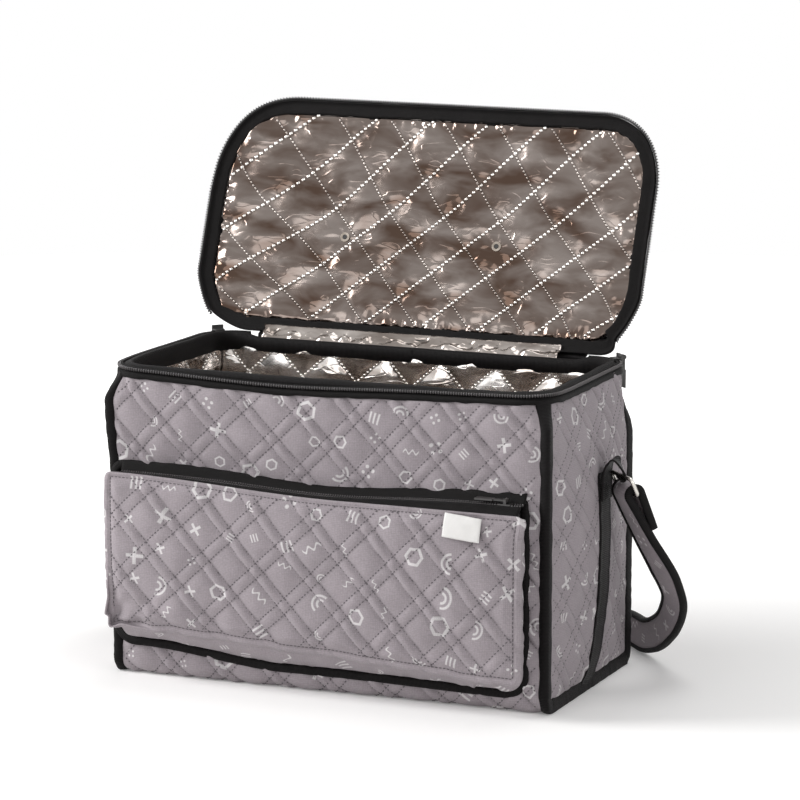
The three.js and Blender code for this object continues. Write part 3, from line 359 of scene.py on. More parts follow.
def printed_canvas(name):
    """The canvas, patterned in the cloth's own millimetres, with the depth of the quilting as its third, for
    painted shade in the grooves.
    """
    finish, tree = bare_finish(name)
    spot = add(tree, "Attribute", out="Vector", attribute_name="cloth")
    fleck = add(tree, "TexNoise", {"Vector": spot, "Scale": 1 / HEATHER, "Detail": 3.0})
    patch = add(tree, "TexNoise", {"Vector": spot, "Scale": 1 / FADE, "Detail": 2.0})
    threads = {"Vector": spot, "Scale": WAVE_PER_MM / WEAVE, "Distortion": 0.6, "Detail": 1.0}
    warp = add(tree, "TexWave", threads, out="Fac", bands_direction="X")
    weft = add(tree, "TexWave", threads, out="Fac", bands_direction="Y")
    weave = add(tree, "Math", {0: warp, 1: weft}, operation="MULTIPLY")
    grey = add(tree, "Mix", {
        "Factor": fleck, "A": linear("#8e868a"), "B": linear("#aea5aa"),
    }, out="Result", data_type="RGBA")
    tone = add(tree, "MapRange", {
        "Value": patch, "From Min": 0.3, "From Max": 0.7, "To Min": 0.92, "To Max": 1.06,
    })
    lit = add(tree, "MapRange", {"Value": weave, "To Min": 0.9, "To Max": 1.07})
    # Painted shade: the grey is darkened by up to 14 % with the depth of the quilting's grooves.
    groove = add(tree, "SeparateXYZ", {0: spot}, out="Z")
    shade = add(tree, "MapRange", {"Value": groove, "To Min": 1.0, "To Max": 0.86})
    tone = add(tree, "Math", {0: tone, 1: lit}, operation="MULTIPLY")
    tone = add(tree, "Math", {0: tone, 1: shade}, operation="MULTIPLY")
    # Each cell of the print draws its own place, turn, size and kind of shape.
    scaled = add(tree, "VectorMath", {
        0: spot, 1: (1 / PRINT_CELL, 1 / PRINT_CELL, 0.0),
    }, operation="MULTIPLY")
    index = add(tree, "VectorMath", {0: scaled}, operation="FLOOR")
    random = add(tree, "TexWhiteNoise", {"Vector": index}, out="Color", noise_dimensions="3D")
    second = add(tree, "VectorMath", {0: index, 1: (7.3, 3.1, 5.7)}, operation="ADD")
    chance = add(tree, "TexWhiteNoise", {"Vector": second}, out="Value", noise_dimensions="3D")
    local = add(tree, "VectorMath", {0: scaled, 1: index}, operation="SUBTRACT")
    shift = add(tree, "VectorMath", {
        0: random, 1: (0.44, 0.44, 0.0), 2: (0.28, 0.28, 0.0),
    }, operation="MULTIPLY_ADD")
    local = add(tree, "VectorMath", {0: local, 1: shift}, operation="SUBTRACT")
    third = add(tree, "VectorMath", {0: index, 1: (2.9, 8.3, 1.7)}, operation="ADD")
    size = add(tree, "TexWhiteNoise", {"Vector": third}, out="Value", noise_dimensions="3D")
    reach = add(tree, "MapRange", {"Value": size, "To Min": PRINT_CELL * 1.35, "To Max": PRINT_CELL * 0.72})
    local = add(tree, "VectorMath", {0: local, "Scale": reach}, operation="SCALE")
    angle = add(tree, "SeparateXYZ", {0: random}, out="Z")
    angle = add(tree, "Math", {0: angle, 1: 6.283}, operation="MULTIPLY")
    local = add(tree, "VectorRotate", {"Vector": local, "Angle": angle}, rotation_type="Z_AXIS")
    x = add(tree, "SeparateXYZ", {0: local}, out="X")
    y = add(tree, "SeparateXYZ", {0: local}, out="Y")
    ax = add(tree, "Math", {0: x}, operation="ABSOLUTE")
    ay = add(tree, "Math", {0: y}, operation="ABSOLUTE")
    flat = add(tree, "CombineXYZ", {0: x, 1: y})
    radius = add(tree, "VectorMath", {0: flat}, out="Value", operation="LENGTH")
    shapes = []
    # Six-sided ring.
    slant = add(tree, "Math", {0: ax, 1: 0.866}, operation="MULTIPLY")
    side = add(tree, "Math", {0: ay, 1: 0.5, 2: slant}, operation="MULTIPLY_ADD")
    side = add(tree, "Math", {0: side, 1: ay}, operation="MAXIMUM")
    side = add(tree, "Math", {0: side, 1: 5.2}, operation="SUBTRACT")
    side = add(tree, "Math", {0: side}, operation="ABSOLUTE")
    shapes.append(add(tree, "Math", {0: side, 1: 0.95}, operation="SUBTRACT"))
    # Plus sign.
    bars = []
    for long, short in ((ax, ay), (ay, ax)):
        end = add(tree, "Math", {0: long, 1: 5.6}, operation="SUBTRACT")
        edge = add(tree, "Math", {0: short, 1: 1.15}, operation="SUBTRACT")
        bars.append(add(tree, "Math", {0: end, 1: edge}, operation="MAXIMUM"))
    shapes.append(add(tree, "Math", {0: bars[0], 1: bars[1]}, operation="MINIMUM"))
    # Two half rings, one in the other.
    ring = add(tree, "Math", {0: radius, 1: 4.6}, operation="SUBTRACT")
    ring = add(tree, "Math", {0: ring}, operation="ABSOLUTE")
    ring = add(tree, "Math", {0: ring, 1: 1.6}, operation="SUBTRACT")
    ring = add(tree, "Math", {0: ring}, operation="ABSOLUTE")
    ring = add(tree, "Math", {0: ring, 1: 0.75}, operation="SUBTRACT")
    below = add(tree, "Math", {0: y, 1: -1.0}, operation="MULTIPLY")
    shapes.append(add(tree, "Math", {0: ring, 1: below}, operation="MAXIMUM"))
    # Short wave.
    bend = add(tree, "Math", {0: x, 1: 0.95}, operation="MULTIPLY")
    bend = add(tree, "Math", {0: bend}, operation="SINE")
    wave = add(tree, "Math", {0: bend, 1: 1.7, 2: y}, operation="MULTIPLY_ADD")
    wave = add(tree, "Math", {0: wave}, operation="ABSOLUTE")
    wave = add(tree, "Math", {0: wave, 1: 0.85}, operation="SUBTRACT")
    end = add(tree, "Math", {0: ax, 1: 7.2}, operation="SUBTRACT")
    shapes.append(add(tree, "Math", {0: wave, 1: end}, operation="MAXIMUM"))
    # Four dots.
    dot = add(tree, "CombineXYZ", {
        0: add(tree, "Math", {0: ax, 1: 2.5}, operation="SUBTRACT"),
        1: add(tree, "Math", {0: ay, 1: 2.5}, operation="SUBTRACT"),
    })
    dot = add(tree, "VectorMath", {0: dot}, out="Value", operation="LENGTH")
    shapes.append(add(tree, "Math", {0: dot, 1: 1.25}, operation="SUBTRACT"))
    # Three short strokes.
    stroke = add(tree, "Math", {0: x, 1: 1.7}, operation="PINGPONG")
    stroke = add(tree, "Math", {0: stroke, 1: 0.75}, operation="SUBTRACT")
    end = add(tree, "Math", {0: ay, 1: 4.3}, operation="SUBTRACT")
    edge = add(tree, "Math", {0: ax, 1: 4.2}, operation="SUBTRACT")
    edge = add(tree, "Math", {0: end, 1: edge}, operation="MAXIMUM")
    shapes.append(add(tree, "Math", {0: stroke, 1: edge}, operation="MAXIMUM"))
    kind = add(tree, "Math", {0: chance, 1: len(shapes) + 0.9}, operation="MULTIPLY")
    kind = add(tree, "Math", {0: kind}, operation="FLOOR")
    # The cell's own kind of shape is inked, and a cell past the last kind is left bare.
    ink = None
    for k, shape in enumerate(shapes):
        off = add(tree, "Math", {0: kind, 1: float(k)}, operation="SUBTRACT")
        off = add(tree, "Math", {0: off}, operation="ABSOLUTE")
        here = add(tree, "Math", {0: off, 1: 60.0, 2: shape}, operation="MULTIPLY_ADD")
        ink = here if ink is None else add(tree, "Math", {0: ink, 1: here}, operation="MINIMUM")
    ink = add(tree, "MapRange", {
        "Value": ink, "From Min": -0.25, "From Max": 0.25, "To Min": 0.92, "To Max": 0.0,
    })
    colour = add(tree, "Mix", {
        "Factor": ink, "A": grey, "B": linear("#d8d4d5"),
    }, out="Result", data_type="RGBA")
    colour = add(tree, "VectorMath", {0: colour, "Scale": tone}, operation="SCALE")
    height = add(tree, "Math", {0: weave, 1: fleck}, operation="ADD")
    bump = add(tree, "Bump", {"Height": height, "Strength": 0.32, "Distance": 0.0006})
    rough = add(tree, "MapRange", {"Value": fleck, "To Min": 0.74, "To Max": 0.92})
    shader = add(tree, "BsdfPrincipled", {
        "Base Color": colour, "Roughness": rough, "Normal": bump,
        "Specular IOR Level": 0.3, "Sheen Weight": 0.12, "Sheen Roughness": 0.5,
    })
    add(tree, "OutputMaterial", {"Surface": shader})
    return finish


canvas = printed_canvas("printed_canvas")

# Sewing thread: spun polyester, twisted, with a dull gleam. Its grey is darker than the canvas, partly its
# own colour and partly painted shade of the needle holes. Its twist of 0.4 mm is too fine to show, and is
# drawn as flecks of 1.1 mm.
thread, tree = bare_finish("grey_thread")
twist = add(tree, "TexNoise", {"Scale": 1 / (1.11 * MM), "Detail": 1.0})
# Partly painted shade: the thread's grey is darker than the thread itself, for the shade in its needle holes.
colour = add(tree, "Mix", {
    "Factor": twist, "A": linear("#514c50"), "B": linear("#746f73"),
}, out="Result", data_type="RGBA")
shader = add(tree, "BsdfPrincipled", {"Base Color": colour, "Roughness": 0.7})
add(tree, "OutputMaterial", {"Surface": shader})

wrap_fold = FOLD * math.pi / 2
wrap_runs = np.cumsum([0, WALL - FOLD, wrap_fold, 2 * (HALF_D - FOLD), wrap_fold, WALL - FOLD])


def wrap_line(s, out=0.0):
    """Depth and height of the wrap at a run `s` from the front rim, `out` mm off its face."""
    s = np.asarray(s, float)
    turn_a = np.clip((s - wrap_runs[1]) / FOLD, 0, math.pi / 2)
    turn_b = np.clip((s - wrap_runs[3]) / FOLD, 0, math.pi / 2)
    base = np.clip(s, wrap_runs[2], wrap_runs[3]) - wrap_runs[2]
    down = np.clip(s, 0, wrap_runs[1])
    up = np.clip(s - wrap_runs[4], 0, None)
    y = -HALF_D + FOLD - FOLD * np.cos(turn_a) + base + FOLD * np.sin(turn_b)
    z = WALL - down - FOLD * np.sin(turn_a) + FOLD * (1 - np.cos(turn_b)) + up
    turn = turn_a + turn_b
    return y - out * np.cos(turn), z - out * np.sin(turn)


def wrap_place(x, s):
    """Where a point of the flat wrap lies on the bag."""
    y, z = wrap_line(s)
    return sagged(gathered(np.stack(np.broadcast_arrays(x, y, z), -1)))


def wrap_height(x, s):
    """Quilted height of the wrap, drawn in to its seams, with creases by the rim and a base pressed flat."""
    edge = ease(WRAP_HALF, WRAP_HALF - 11, np.abs(x)) * 0.85 + 0.15
    rim = ease(0, 9, s) * ease(wrap_runs[5] - 5, wrap_runs[5] - 17, s)
    on_base = ease(wrap_runs[2] - 16, wrap_runs[2] + 4, s) * ease(wrap_runs[3] + 16, wrap_runs[3] - 4, s)
    rise = puff(x, -s) * (1 + 0.22 * swell(x, s, 33, 6)) * edge * (0.2 + 0.8 * rim)
    rise = rise + (0.9 * swell(x, s, 46, 3) + 0.45 * swell(x, s, 14, 4)) * edge * rim
    rise = rise + (1.3 * swell(x, s * 0.25, 9, 5) - 0.5) * np.exp(-s / 11) * edge
    rise = rise - 1.0 * np.exp(-(wrap_runs[5] - s) / 11)
    return rise * (1 - 0.94 * on_base)


def quilted_piece(
        name, place, height, us, vs, depth, facing, finish, cloth=(0, 0, 1), step=4, rise=0.0):
    """Closed quilted panel: a fine puffed face over a coarse flat back. Its first edge faces `facing`."""
    u, v = np.meshgrid(us, vs, indexing="ij")
    base = place(u, v)
    n = normals_of(base)
    n = n * np.sign(n[len(us) // 2, 0] @ np.asarray(facing, float))
    outer = base + n * height(u, v)[..., None]
    points, faces = closed_panel(outer, (base - n * depth)[::step, ::step], step)
    # The third cloth coordinate is how deep a point lies below the quilting's crowns; the printed canvas
    # paints shade with it.
    crest = puff(u, v * cloth[2] + rise)
    spot = np.stack([u + cloth[0], v + cloth[1], np.clip(1 - crest / 1.1, 0, 1)], -1)
    spots = np.concatenate([spot.reshape(-1, 3), spot[::step, ::step].reshape(-1, 3)])
    return mesh_object(name, points, faces, finish, spots)


def sewn_rows(
        name, place, height, low, high, facing, finish, turn=1, lift=0.4, size=(1.2, 0.9, 4), **rows):
    """Stitches of the quilting, lying in the grooves of a quilted panel."""
    def normal(u, v):
        base = place(u, v)
        return unit(np.cross(place(u + 0.5, v) - base, place(u, v + 0.5) - base))

    edge = np.array([low[1] if turn > 0 else -high[1]], float)
    side = np.sign(normal(edge * 0 + (low[0] + high[0]) / 2, edge)[0] @ np.asarray(facing, float))

    def spots(u, v):
        n = normal(u, v * turn) * side
        return place(u, v * turn) + n * (height(u, v * turn) + lift)[..., None], n

    starts, ends = stitch_rows(spots, low, high, **rows)
    points, faces = grains(starts[0], ends[0], starts[1], *size)
    return mesh_object(name, points, faces, finish)


xs = stops(-WRAP_HALF, WRAP_HALF, 1.6, 4)
ss = stops(0, wrap_runs[5], 1.6, 4)
wrap = quilted_piece(
    "wrap_canvas", wrap_place, wrap_height, xs, ss, CANVAS_DEPTH, (0, -1, 0), canvas, (0, 0, -1))
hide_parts("wrap_panel")
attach(wrap, "bag")
wrap_thread = sewn_rows(
    "wrap_stitches", wrap_place, wrap_height, (4 - WRAP_HALF, 5 - wrap_runs[5]), (WRAP_HALF - 4, -5),
    (0, -1, 0), thread, turn=-1)
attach(wrap_thread, "bag")

# Side panels: the same quilted canvas, bellied out by the foam behind it, sewn to the wrap all round
# and pulled out a little where the strap's ring hangs.
TAB_Y, TAB_Z = 2.0, 184.0


def side_belly(y, z):
    """How far a side panel bellies out from flat."""
    rise = np.clip((z - SEAM) / (WALL - SEAM), 0, 1)
    return 12.0 * np.maximum(1 - (y / (HALF_D - SEAM)) ** 2, 0) * np.sin(math.pi * rise ** 0.8)


def side_place(sign):
    """Where a point of the right or left side panel lies."""
    def place(y, z):
        x = sign * (HALF_W + side_belly(y, z))
        return sagged(gathered(np.stack(np.broadcast_arrays(x, y, z), -1)))
    return place


def patch_at(x, y, place, reach):
    """1 at a place, falling smoothly to 0 over a patch of about that reach each way."""
    return np.exp(-((x - place[0]) / reach[0]) ** 2 - ((y - place[1]) / reach[1]) ** 2)


def side_height(y, z):
    """Quilted height of a side panel, pressed flat under the webbing and puckered round the ring's tab."""
    edge = ease(HALF_D - SEAM, HALF_D - SEAM - 12, np.abs(y)) * ease(SEAM, SEAM + 10, z)
    rim = ease(WALL, WALL - 10, z)
    under_webbing = ease(19, 12, np.abs(y - TAB_Y)) * ease(TAB_Z + 8, TAB_Z - 4, z)
    rise = puff(y, z, height=1.9, tie=0.4) * (0.15 + 0.85 * edge) * (0.3 + 0.7 * rim)
    rise = rise * (1 - 0.75 * under_webbing)
    away = np.hypot(y - TAB_Y, z - TAB_Z)
    turn = np.arctan2(z - TAB_Z, y - TAB_Y)
    pulled = 0.9 * np.cos(5 * turn + 0.7) * np.exp(-away / 30) * (1 - np.exp(-away / 12))
    dish = -2.2 * patch_at(y, z, (50, 115), (26, 60))
    loose = 1.1 * swell(y, z, 52, 11) + 0.5 * swell(y, z, 15, 12)
    rise = rise + (pulled * (1 - under_webbing) + dish + loose * (1 - 0.7 * under_webbing)) * edge
    return rise + (1.2 * swell(y, z * 0.25, 9, 13) - 0.5) * np.exp(-(WALL - z) / 11)


ys = stops(-(HALF_D - SEAM), HALF_D - SEAM, 1.6, 4)
zs = stops(SEAM, WALL, 1.6, 4)
for sign, hand in ((1, "right"), (-1, "left")):
    panel = quilted_piece(
        f"{hand}_side_canvas", side_place(sign), side_height, ys, zs, CANVAS_DEPTH, (sign, 0, 0), canvas,
        (sign * 610, 83, 1))
    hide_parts(f"{hand}_side_panel")
    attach(panel, "bag")
    rows = sewn_rows(
        f"{hand}_side_stitches", side_place(sign), side_height, (-90, SEAM + 3), (90, WALL - 5),
        (sign, 0, 0), thread, lift=0.1, size=(0.9, 0.7, 4))
    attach(rows, "bag")

# Seam bindings: black grosgrain tape folded over the seam between wrap and side panel and sewn down,
# in one length down the front edge, along the bottom and up the back edge.


def tube(rings, closed=False):
    """Points and faces of a closed band through rings of points, with flat ends."""
    n, k = rings.shape[:2]
    ids = np.arange(n * k).reshape(n, k)
    a, b = (ids, np.roll(ids, -1, 0)) if closed else (ids[:-1], ids[1:])
    quads = np.stack([a, np.roll(a, -1, 1), np.roll(b, -1, 1), b], -1).reshape(-1, 4)
    if closed:
        return rings.reshape(-1, 3), [quads]
    ends = np.stack([rings[0].mean(0), rings[-1].mean(0)])
    first = np.stack([np.full(k, n * k), np.roll(ids[0], -1), ids[0]], -1)
    last = np.stack([np.full(k, n * k + 1), ids[-1], np.roll(ids[-1], -1)], -1)
    return np.concatenate([rings.reshape(-1, 3), ends]), [quads, np.concatenate([first, last])]


def run_along(line):
    """Distance along a line of points to each of them."""
    return np.concatenate([[0], np.cumsum(np.linalg.norm(np.diff(line, axis=0), axis=1))])


def waver(run, size, seed):
    """Smooth random height between -1 and 1 along a run, with lumps about `size` mm long."""
    return swell(run, 0 * run, size, seed)


def band(name, rings, finish, closed=False):
    """A swept band whose cloth coordinates run along it and round its section, in mm."""
    run, girth = run_along(rings.mean(1)), run_along(rings[len(rings) // 2])
    spots = np.stack(np.broadcast_arrays(run[:, None], girth[None, :], 0.0), -1).reshape(-1, 3)
    if not closed:
        spots = np.concatenate([spots, spots[:1], spots[-1:]])
    points, faces = tube(rings, closed)
    return mesh_object(name, points, faces, finish, spots)


# Grosgrain: polyester ribbon woven with a thick weft, so that fine ribs cross it and catch the light.
# The ribs are 0.6 mm apart and are drawn twice as coarse, so that they show.
RIB, FUZZ, WEAR = 2 * 0.6, 1.43, 16.7


def grosgrain(name, dark, pale, rib=RIB, gloss=0.62):
    """Ribbed tape in two near blacks, fuzzy between its ribs and worn in patches."""
    finish, tree = bare_finish(name)
    spot = add(tree, "Attribute", out="Vector", attribute_name="cloth")
    ribs = add(tree, "TexWave", {
        "Vector": spot, "Scale": WAVE_PER_MM / rib, "Distortion": 0.4,
    }, out="Fac", bands_direction="X")
    fuzz = add(tree, "TexNoise", {"Vector": spot, "Scale": 1 / FUZZ, "Detail": 3.0})
    worn = add(tree, "TexNoise", {"Vector": spot, "Scale": 1 / WEAR, "Detail": 2.0})
    mix = add(tree, "Math", {0: ribs, 1: fuzz}, operation="MULTIPLY")
    mix = add(tree, "Math", {0: mix, 1: worn}, operation="MULTIPLY")
    mix = add(tree, "MapRange", {"Value": mix, "From Max": 0.4})
    colour = add(tree, "Mix", {
        "Factor": mix, "A": linear(dark), "B": linear(pale),
    }, out="Result", data_type="RGBA")
    height = add(tree, "Math", {0: fuzz, 1: 0.4, 2: ribs}, operation="MULTIPLY_ADD")
    bump = add(tree, "Bump", {"Height": height, "Strength": 0.55, "Distance": 0.0007})
    rough = add(tree, "MapRange", {"Value": fuzz, "To Min": gloss - 0.12, "To Max": gloss + 0.12})
    shader = add(tree, "BsdfPrincipled", {
        "Base Color": colour, "Roughness": rough, "Normal": bump, "Specular IOR Level": 0.12,
        "Sheen Weight": 0.03, "Sheen Roughness": 0.4,
    })
    add(tree, "OutputMaterial", {"Surface": shader})
    return finish


black_grosgrain = grosgrain("black_grosgrain", "#080707", "#1a1617")
seam_section = np.array([
    (-11.2, 0.5), (-7.5, 1.7), (-3.2, 2.3), (-0.6, 2.5), (1.4, 2.2), (2.2, 1.4), (2.5, -0.6), (2.3, -2.4),
    (1.6, -4.6), (0.5, -6.4), (-0.9, -6.2), (-1.2, -4.0), (-1.3, -1.3), (-5.0, -1.2), (-11.0, -0.9),
])
seam_runs = np.linspace(0, wrap_runs[5], 520)
for sign, hand in ((1, "right"), (-1, "left")):
    wave = 1 + 0.1 * waver(seam_runs, 13, 21 + sign)
    lump = 0.35 * waver(seam_runs, 4.5, 24 + sign)
    p = seam_section[None, :, 0] * np.where(seam_section[None, :, 0] < -3, wave[:, None], 1)
    q = seam_section[None, :, 1] * np.where(seam_section[None, :, 1] < -3, wave[:, None], 1)
    on_top = (seam_section.min(1) > -9) & (seam_section.max(1) > 0.6)
    crown = on_top[None, :] * lump[:, None]
    y, z = wrap_line(seam_runs[:, None], p + crown * 0.7)
    x = sign * (HALF_W + q + crown * 0.7)
    rings = sagged(gathered(np.stack(np.broadcast_arrays(x, y, np.maximum(z, -0.4)), -1)))
    binding = band(f"{hand}_seam_tape", rings, black_grosgrain)
    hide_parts(f"{hand}_seam_binding")
    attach(binding, "bag")

# Foam: sheets of white closed-cell polyethylene foam, cut to each wall and caught in the seams
# between the canvas and the foil.
FOAM_OUTER, FOAM_INNER = 2.8, 7.6

# Polyethylene foam: white and matt, pitted by closed cells about 2 mm across.
foam, tree = bare_finish("polyethylene_foam")
cells = add(tree, "TexVoronoi", {"Scale": 1 / (2 * MM)}, out="Distance")
colour = add(tree, "Mix", {
    "Factor": cells, "A": linear("#e9e7e2"), "B": linear("#f4f3ef"),
}, out="Result", data_type="RGBA")
bump = add(tree, "Bump", {"Height": cells, "Strength": 0.4, "Distance": 0.0005})
shader = add(tree, "BsdfPrincipled", {"Base Color": colour, "Roughness": 0.85, "Normal": bump})
add(tree, "OutputMaterial", {"Surface": shader})


def wall_face(side, inset):
    """Places points of a wall, along and up it, at a depth behind its canvas."""
    def place(u, v):
        flat = np.zeros_like(np.asarray(u, float) + v)
        spots = {
            "front": (u, flat - HALF_D + inset, v),
            "back": (u, flat + HALF_D - inset, v),
            "right": (flat + HALF_W - inset + side_belly(u, v), u, v),
            "left": (flat - HALF_W + inset - side_belly(u, v), u, v),
            "base": (u, v, flat + inset),
            "floor": (u, v, flat + inset),
        }[side]
        return sagged(gathered(np.stack(np.broadcast_arrays(*spots), -1)))
    return place


def wall_extent(node, side):
    """The stretch of a wall that a layer covers, along and up it, in mm."""
    low, high = (np.array(c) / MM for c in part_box(node))
    pick = {"front": (0, 2), "back": (0, 2), "right": (1, 2), "left": (1, 2)}.get(side, (0, 1))
    return low[list(pick)], high[list(pick)]


for side in ("front", "back", "base", "left", "right"):
    low, high = wall_extent(f"foam_{side}", side)
    u, v = np.meshgrid(np.linspace(low[0], high[0], 41), np.linspace(low[1], high[1], 33), indexing="ij")
    points, faces = closed_panel(wall_face(side, FOAM_OUTER)(u, v), wall_face(side, FOAM_INNER)(u, v), 1)
    sheet = mesh_object(f"foam_sheet_{side}", points, faces, foam)
    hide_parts(f"foam_{side}")
    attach(sheet, "bag")

# Lining: aluminium-coated polyethylene film on thin wadding, quilted in single crossed lines, one panel to
# each wall and the floor, sewn in at the seams. The film crackles, and small beads of it stand up between
# the stitches.
FOIL_LINES = ((math.radians(41), 35.4), (math.radians(-48), 38.2))
FILM_INSET, FILM_DEPTH = 9.4, 1.2
WAYS_IN = {
    "front": (0, 1, 0), "back": (0, -1, 0), "right": (-1, 0, 0), "left": (1, 0, 0), "floor": (0, 0, 1),
}

# Aluminised film: a mirror-like skin over soft wadding, taupe and pewter in patches of about 50 mm, painted
# reflections of a warm surround, rougher where it is paler, with slow wrinkles 17 mm wide and a few sharp
# creases that catch the light.
HAZE_AND_REFLECTION, WRINKLE, CREASE = 47.62, 16.667, 29.41


def film(name, dark, pale, low=0.09, high=0.22):
    """Mirror film painted between two tones of reflection in patches, and rougher where the patches are
    paler.
    """
    finish, tree = bare_finish(name)
    spot = add(tree, "TexCoord", out="Object")
    drawn = add(tree, "VectorMath", {0: spot, 1: (1.0, 1.6, 2.4)}, operation="MULTIPLY")
    tone_patches = add(tree, "TexNoise", {
        "Vector": drawn, "Scale": 1 / (HAZE_AND_REFLECTION * MM), "Detail": 3.0, "Roughness": 0.5, "Distortion": 0.5,
    })
    slow = add(tree, "TexNoise", {
        "Vector": drawn, "Scale": 1 / (WRINKLE * MM), "Detail": 1.0, "Distortion": 0.3,
    })
    fold = add(tree, "TexNoise", {
        "Vector": drawn, "Scale": 1 / (CREASE * MM), "Detail": 1.0, "Distortion": 0.5,
    })
    fold = add(tree, "Math", {0: fold, 1: 0.5}, operation="SUBTRACT")
    fold = add(tree, "Math", {0: fold}, operation="ABSOLUTE")
    fold = add(tree, "MapRange", {"Value": fold, "From Max": 0.035, "To Min": 1.0, "To Max": 0.0})
    # Painted reflection: the film's colour runs from dark to pale with the patches, standing in for the
    # surround it mirrors.
    mix = add(tree, "MapRange", {"Value": tone_patches, "From Min": 0.33, "From Max": 0.67})
    colour = add(tree, "Mix", {
        "Factor": mix, "A": linear(dark), "B": linear(pale),
    }, out="Result", data_type="RGBA")
    height = add(tree, "Math", {0: fold, 1: 0.35, 2: slow}, operation="MULTIPLY_ADD")
    bump = add(tree, "Bump", {"Height": height, "Strength": 0.2, "Distance": 0.0014})
    rough = add(tree, "MapRange", {
        "Value": tone_patches, "From Min": 0.3, "From Max": 0.7, "To Min": low, "To Max": high,
    })
    shader = add(tree, "BsdfPrincipled", {
        "Base Color": colour, "Metallic": 1.0, "Roughness": rough, "Normal": bump,
    })
    add(tree, "OutputMaterial", {"Surface": shader})
    return finish


# The walls' film is a bright copy of the film, painted light, and its beads are a paler copy still, painted
# glints.
lit_wall_foil = film("aluminised_film", "#b3a8a0", "#efebe8")
glinting_bead_foil = film("aluminised_film_beads_painted_glint", "#c9c4bf", "#eceae7", 0.1, 0.22)


def crackle(u, v, seed):
    """Sharp folds of film: ridges along the zero lines of a random swell."""
    coarse = 1 - np.minimum(np.abs(swell(u, v * 1.6, 21, seed)) * 3.2, 1)
    fine = 1 - np.minimum(np.abs(swell(u, v * 1.3, 9, seed + 1)) * 2.6, 1)
    return 0.7 * coarse ** 2 + 0.3 * fine ** 2 + 0.5 * swell(u, v, 30, seed + 2)


def film_height(low, high, seed):
    """Quilted and crackled height of a film panel over its stretch of wall."""
    def height(u, v):
        inset = np.minimum(np.minimum(u - low[0], high[0] - u), np.minimum(v - low[1], high[1] - v))
        edge = ease(-1, 14, inset)
        lift = puff(u, v, FOIL_LINES, 0.0, 3.4, 0.9) + 0.5 * crackle(u, v, seed)
        gather = 0.9 * swell(u, v, 7, seed + 5) * np.exp(-np.maximum(inset, 0) / 8)
        return lift * (0.2 + 0.8 * edge) + gather
    return height


for seed, side in enumerate(("front", "back", "left", "right", "floor")):
    low, high = wall_extent(f"lining_{side}", side)
    place, height = wall_face(side, FILM_INSET), film_height(low, high, 40 + 10 * seed)
    us, vs = stops(low[0], high[0], 2.0, 4), stops(low[1], high[1], 2.0, 4)
    panel = quilted_piece(f"film_{side}", place, height, us, vs, FILM_DEPTH, WAYS_IN[side], lit_wall_foil)
    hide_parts(f"lining_{side}")
    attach(panel, "bag")
    # The beads take the paler copy of the film, painted glints.
    beads = sewn_rows(
        f"film_beads_{side}", place, height, low + 4, high - 4, WAYS_IN[side], glinting_bead_foil, lift=0.4,
        size=(2.4, 1.9, 6), lines=FOIL_LINES, split=0.0, pitch=3.9, length=3.0)
    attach(beads, "bag")

# Rim binding: black grosgrain rolled over the top edge of the lining all round the mouth. Along the hinge
# it lies lower, so that the film of the hinge shows above it, and on the left of the front it stands upright.
RIM_CREST, RIM_AT_HINGE, RIM_LEDGE, RIM_FOOT = 271.9, 268.0, 266.4, 255.0
RIM_PITCH = 2.0


def at_runs(stop, run, line):
    """Points at given distances along a flat line."""
    return np.stack([np.interp(stop, run, line[:, i]) for i in (0, 1)], -1)


def mouth_ring(pitch, front=CORNER):
    """Points on the mouth's outline, clockwise from the middle of the back, and the way out from each."""
    line, outs = [(0, HALF_D)], [(0, 1)]
    corners = ((1, 1, 90, CORNER), (1, -1, 0, front), (-1, -1, -90, front), (-1, 1, -180, CORNER))
    for sx, sy, start, r in corners:
        for turn in np.radians(np.linspace(start, start - 90, 25)):
            out = np.array([math.cos(turn), math.sin(turn)])
            line.append(np.array([sx * (HALF_W - r), sy * (HALF_D - r)]) + r * out)
            outs.append(out)
    line, outs = np.array(line + line[:1]), np.array(outs + outs[:1])
    run = run_along(line)
    stop = np.linspace(0, run[-1], round(run[-1] / pitch), endpoint=False)
    return at_runs(stop, run, line), unit(at_runs(stop, run, outs))


def mouth_rings(spots, ways, section):
    """Rings of a band round the mouth: section holds, for each stop, pairs of distance out and height."""
    section = np.broadcast_to(section, (len(spots),) + np.shape(section)[-2:])
    flat = spots[:, None] + ways[:, None] * section[..., :1]
    return np.concatenate([flat, section[..., 1:]], -1)


spots, ways = mouth_ring(RIM_PITCH)
sag = rim_sag(spots[:, 0], spots[:, 1])
run = np.arange(len(spots)) * RIM_PITCH
at_hinge = ease(80, 101, spots[:, 1]) * ease(170, 150, np.abs(spots[:, 0]))
upright = ease(170, 90, spots[:, 0]) * ease(-70, -98, spots[:, 1])
crest = RIM_CREST + sag * (1 - 0.9 * upright) + 0.4 * waver(run, 22, 31)
crest = crest * (1 - at_hinge) + RIM_AT_HINGE * at_hinge
ledge = RIM_LEDGE + sag
lean = 0.5 * waver(run, 30, 32)
rim_section = np.stack([
    np.stack(np.broadcast_arrays(a + lean, z), -1) for a, z in (
        (-12.2, RIM_FOOT + 0.6 * waver(run, 12, 33)), (-12.4, crest - 5.5), (-11.7, crest - 1.8),
        (-10.4, crest - 0.4), (-8.8, crest), (-7.0, crest - 0.3),
        (-5.2, np.maximum(crest - 1.0, ledge + 0.5)), (-3.9, np.maximum(crest - 2.2, ledge + 0.4)),
        (-3.8, ledge), (-9.0, ledge - 0.1), (-10.4, ledge - 2.0), (-10.8, RIM_FOOT + 0 * run),
    )], 1)
rim = band("rim_tape", leaned(mouth_rings(spots, ways, rim_section)), black_grosgrain, closed=True)
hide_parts("rim_binding")
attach(rim, "bag")

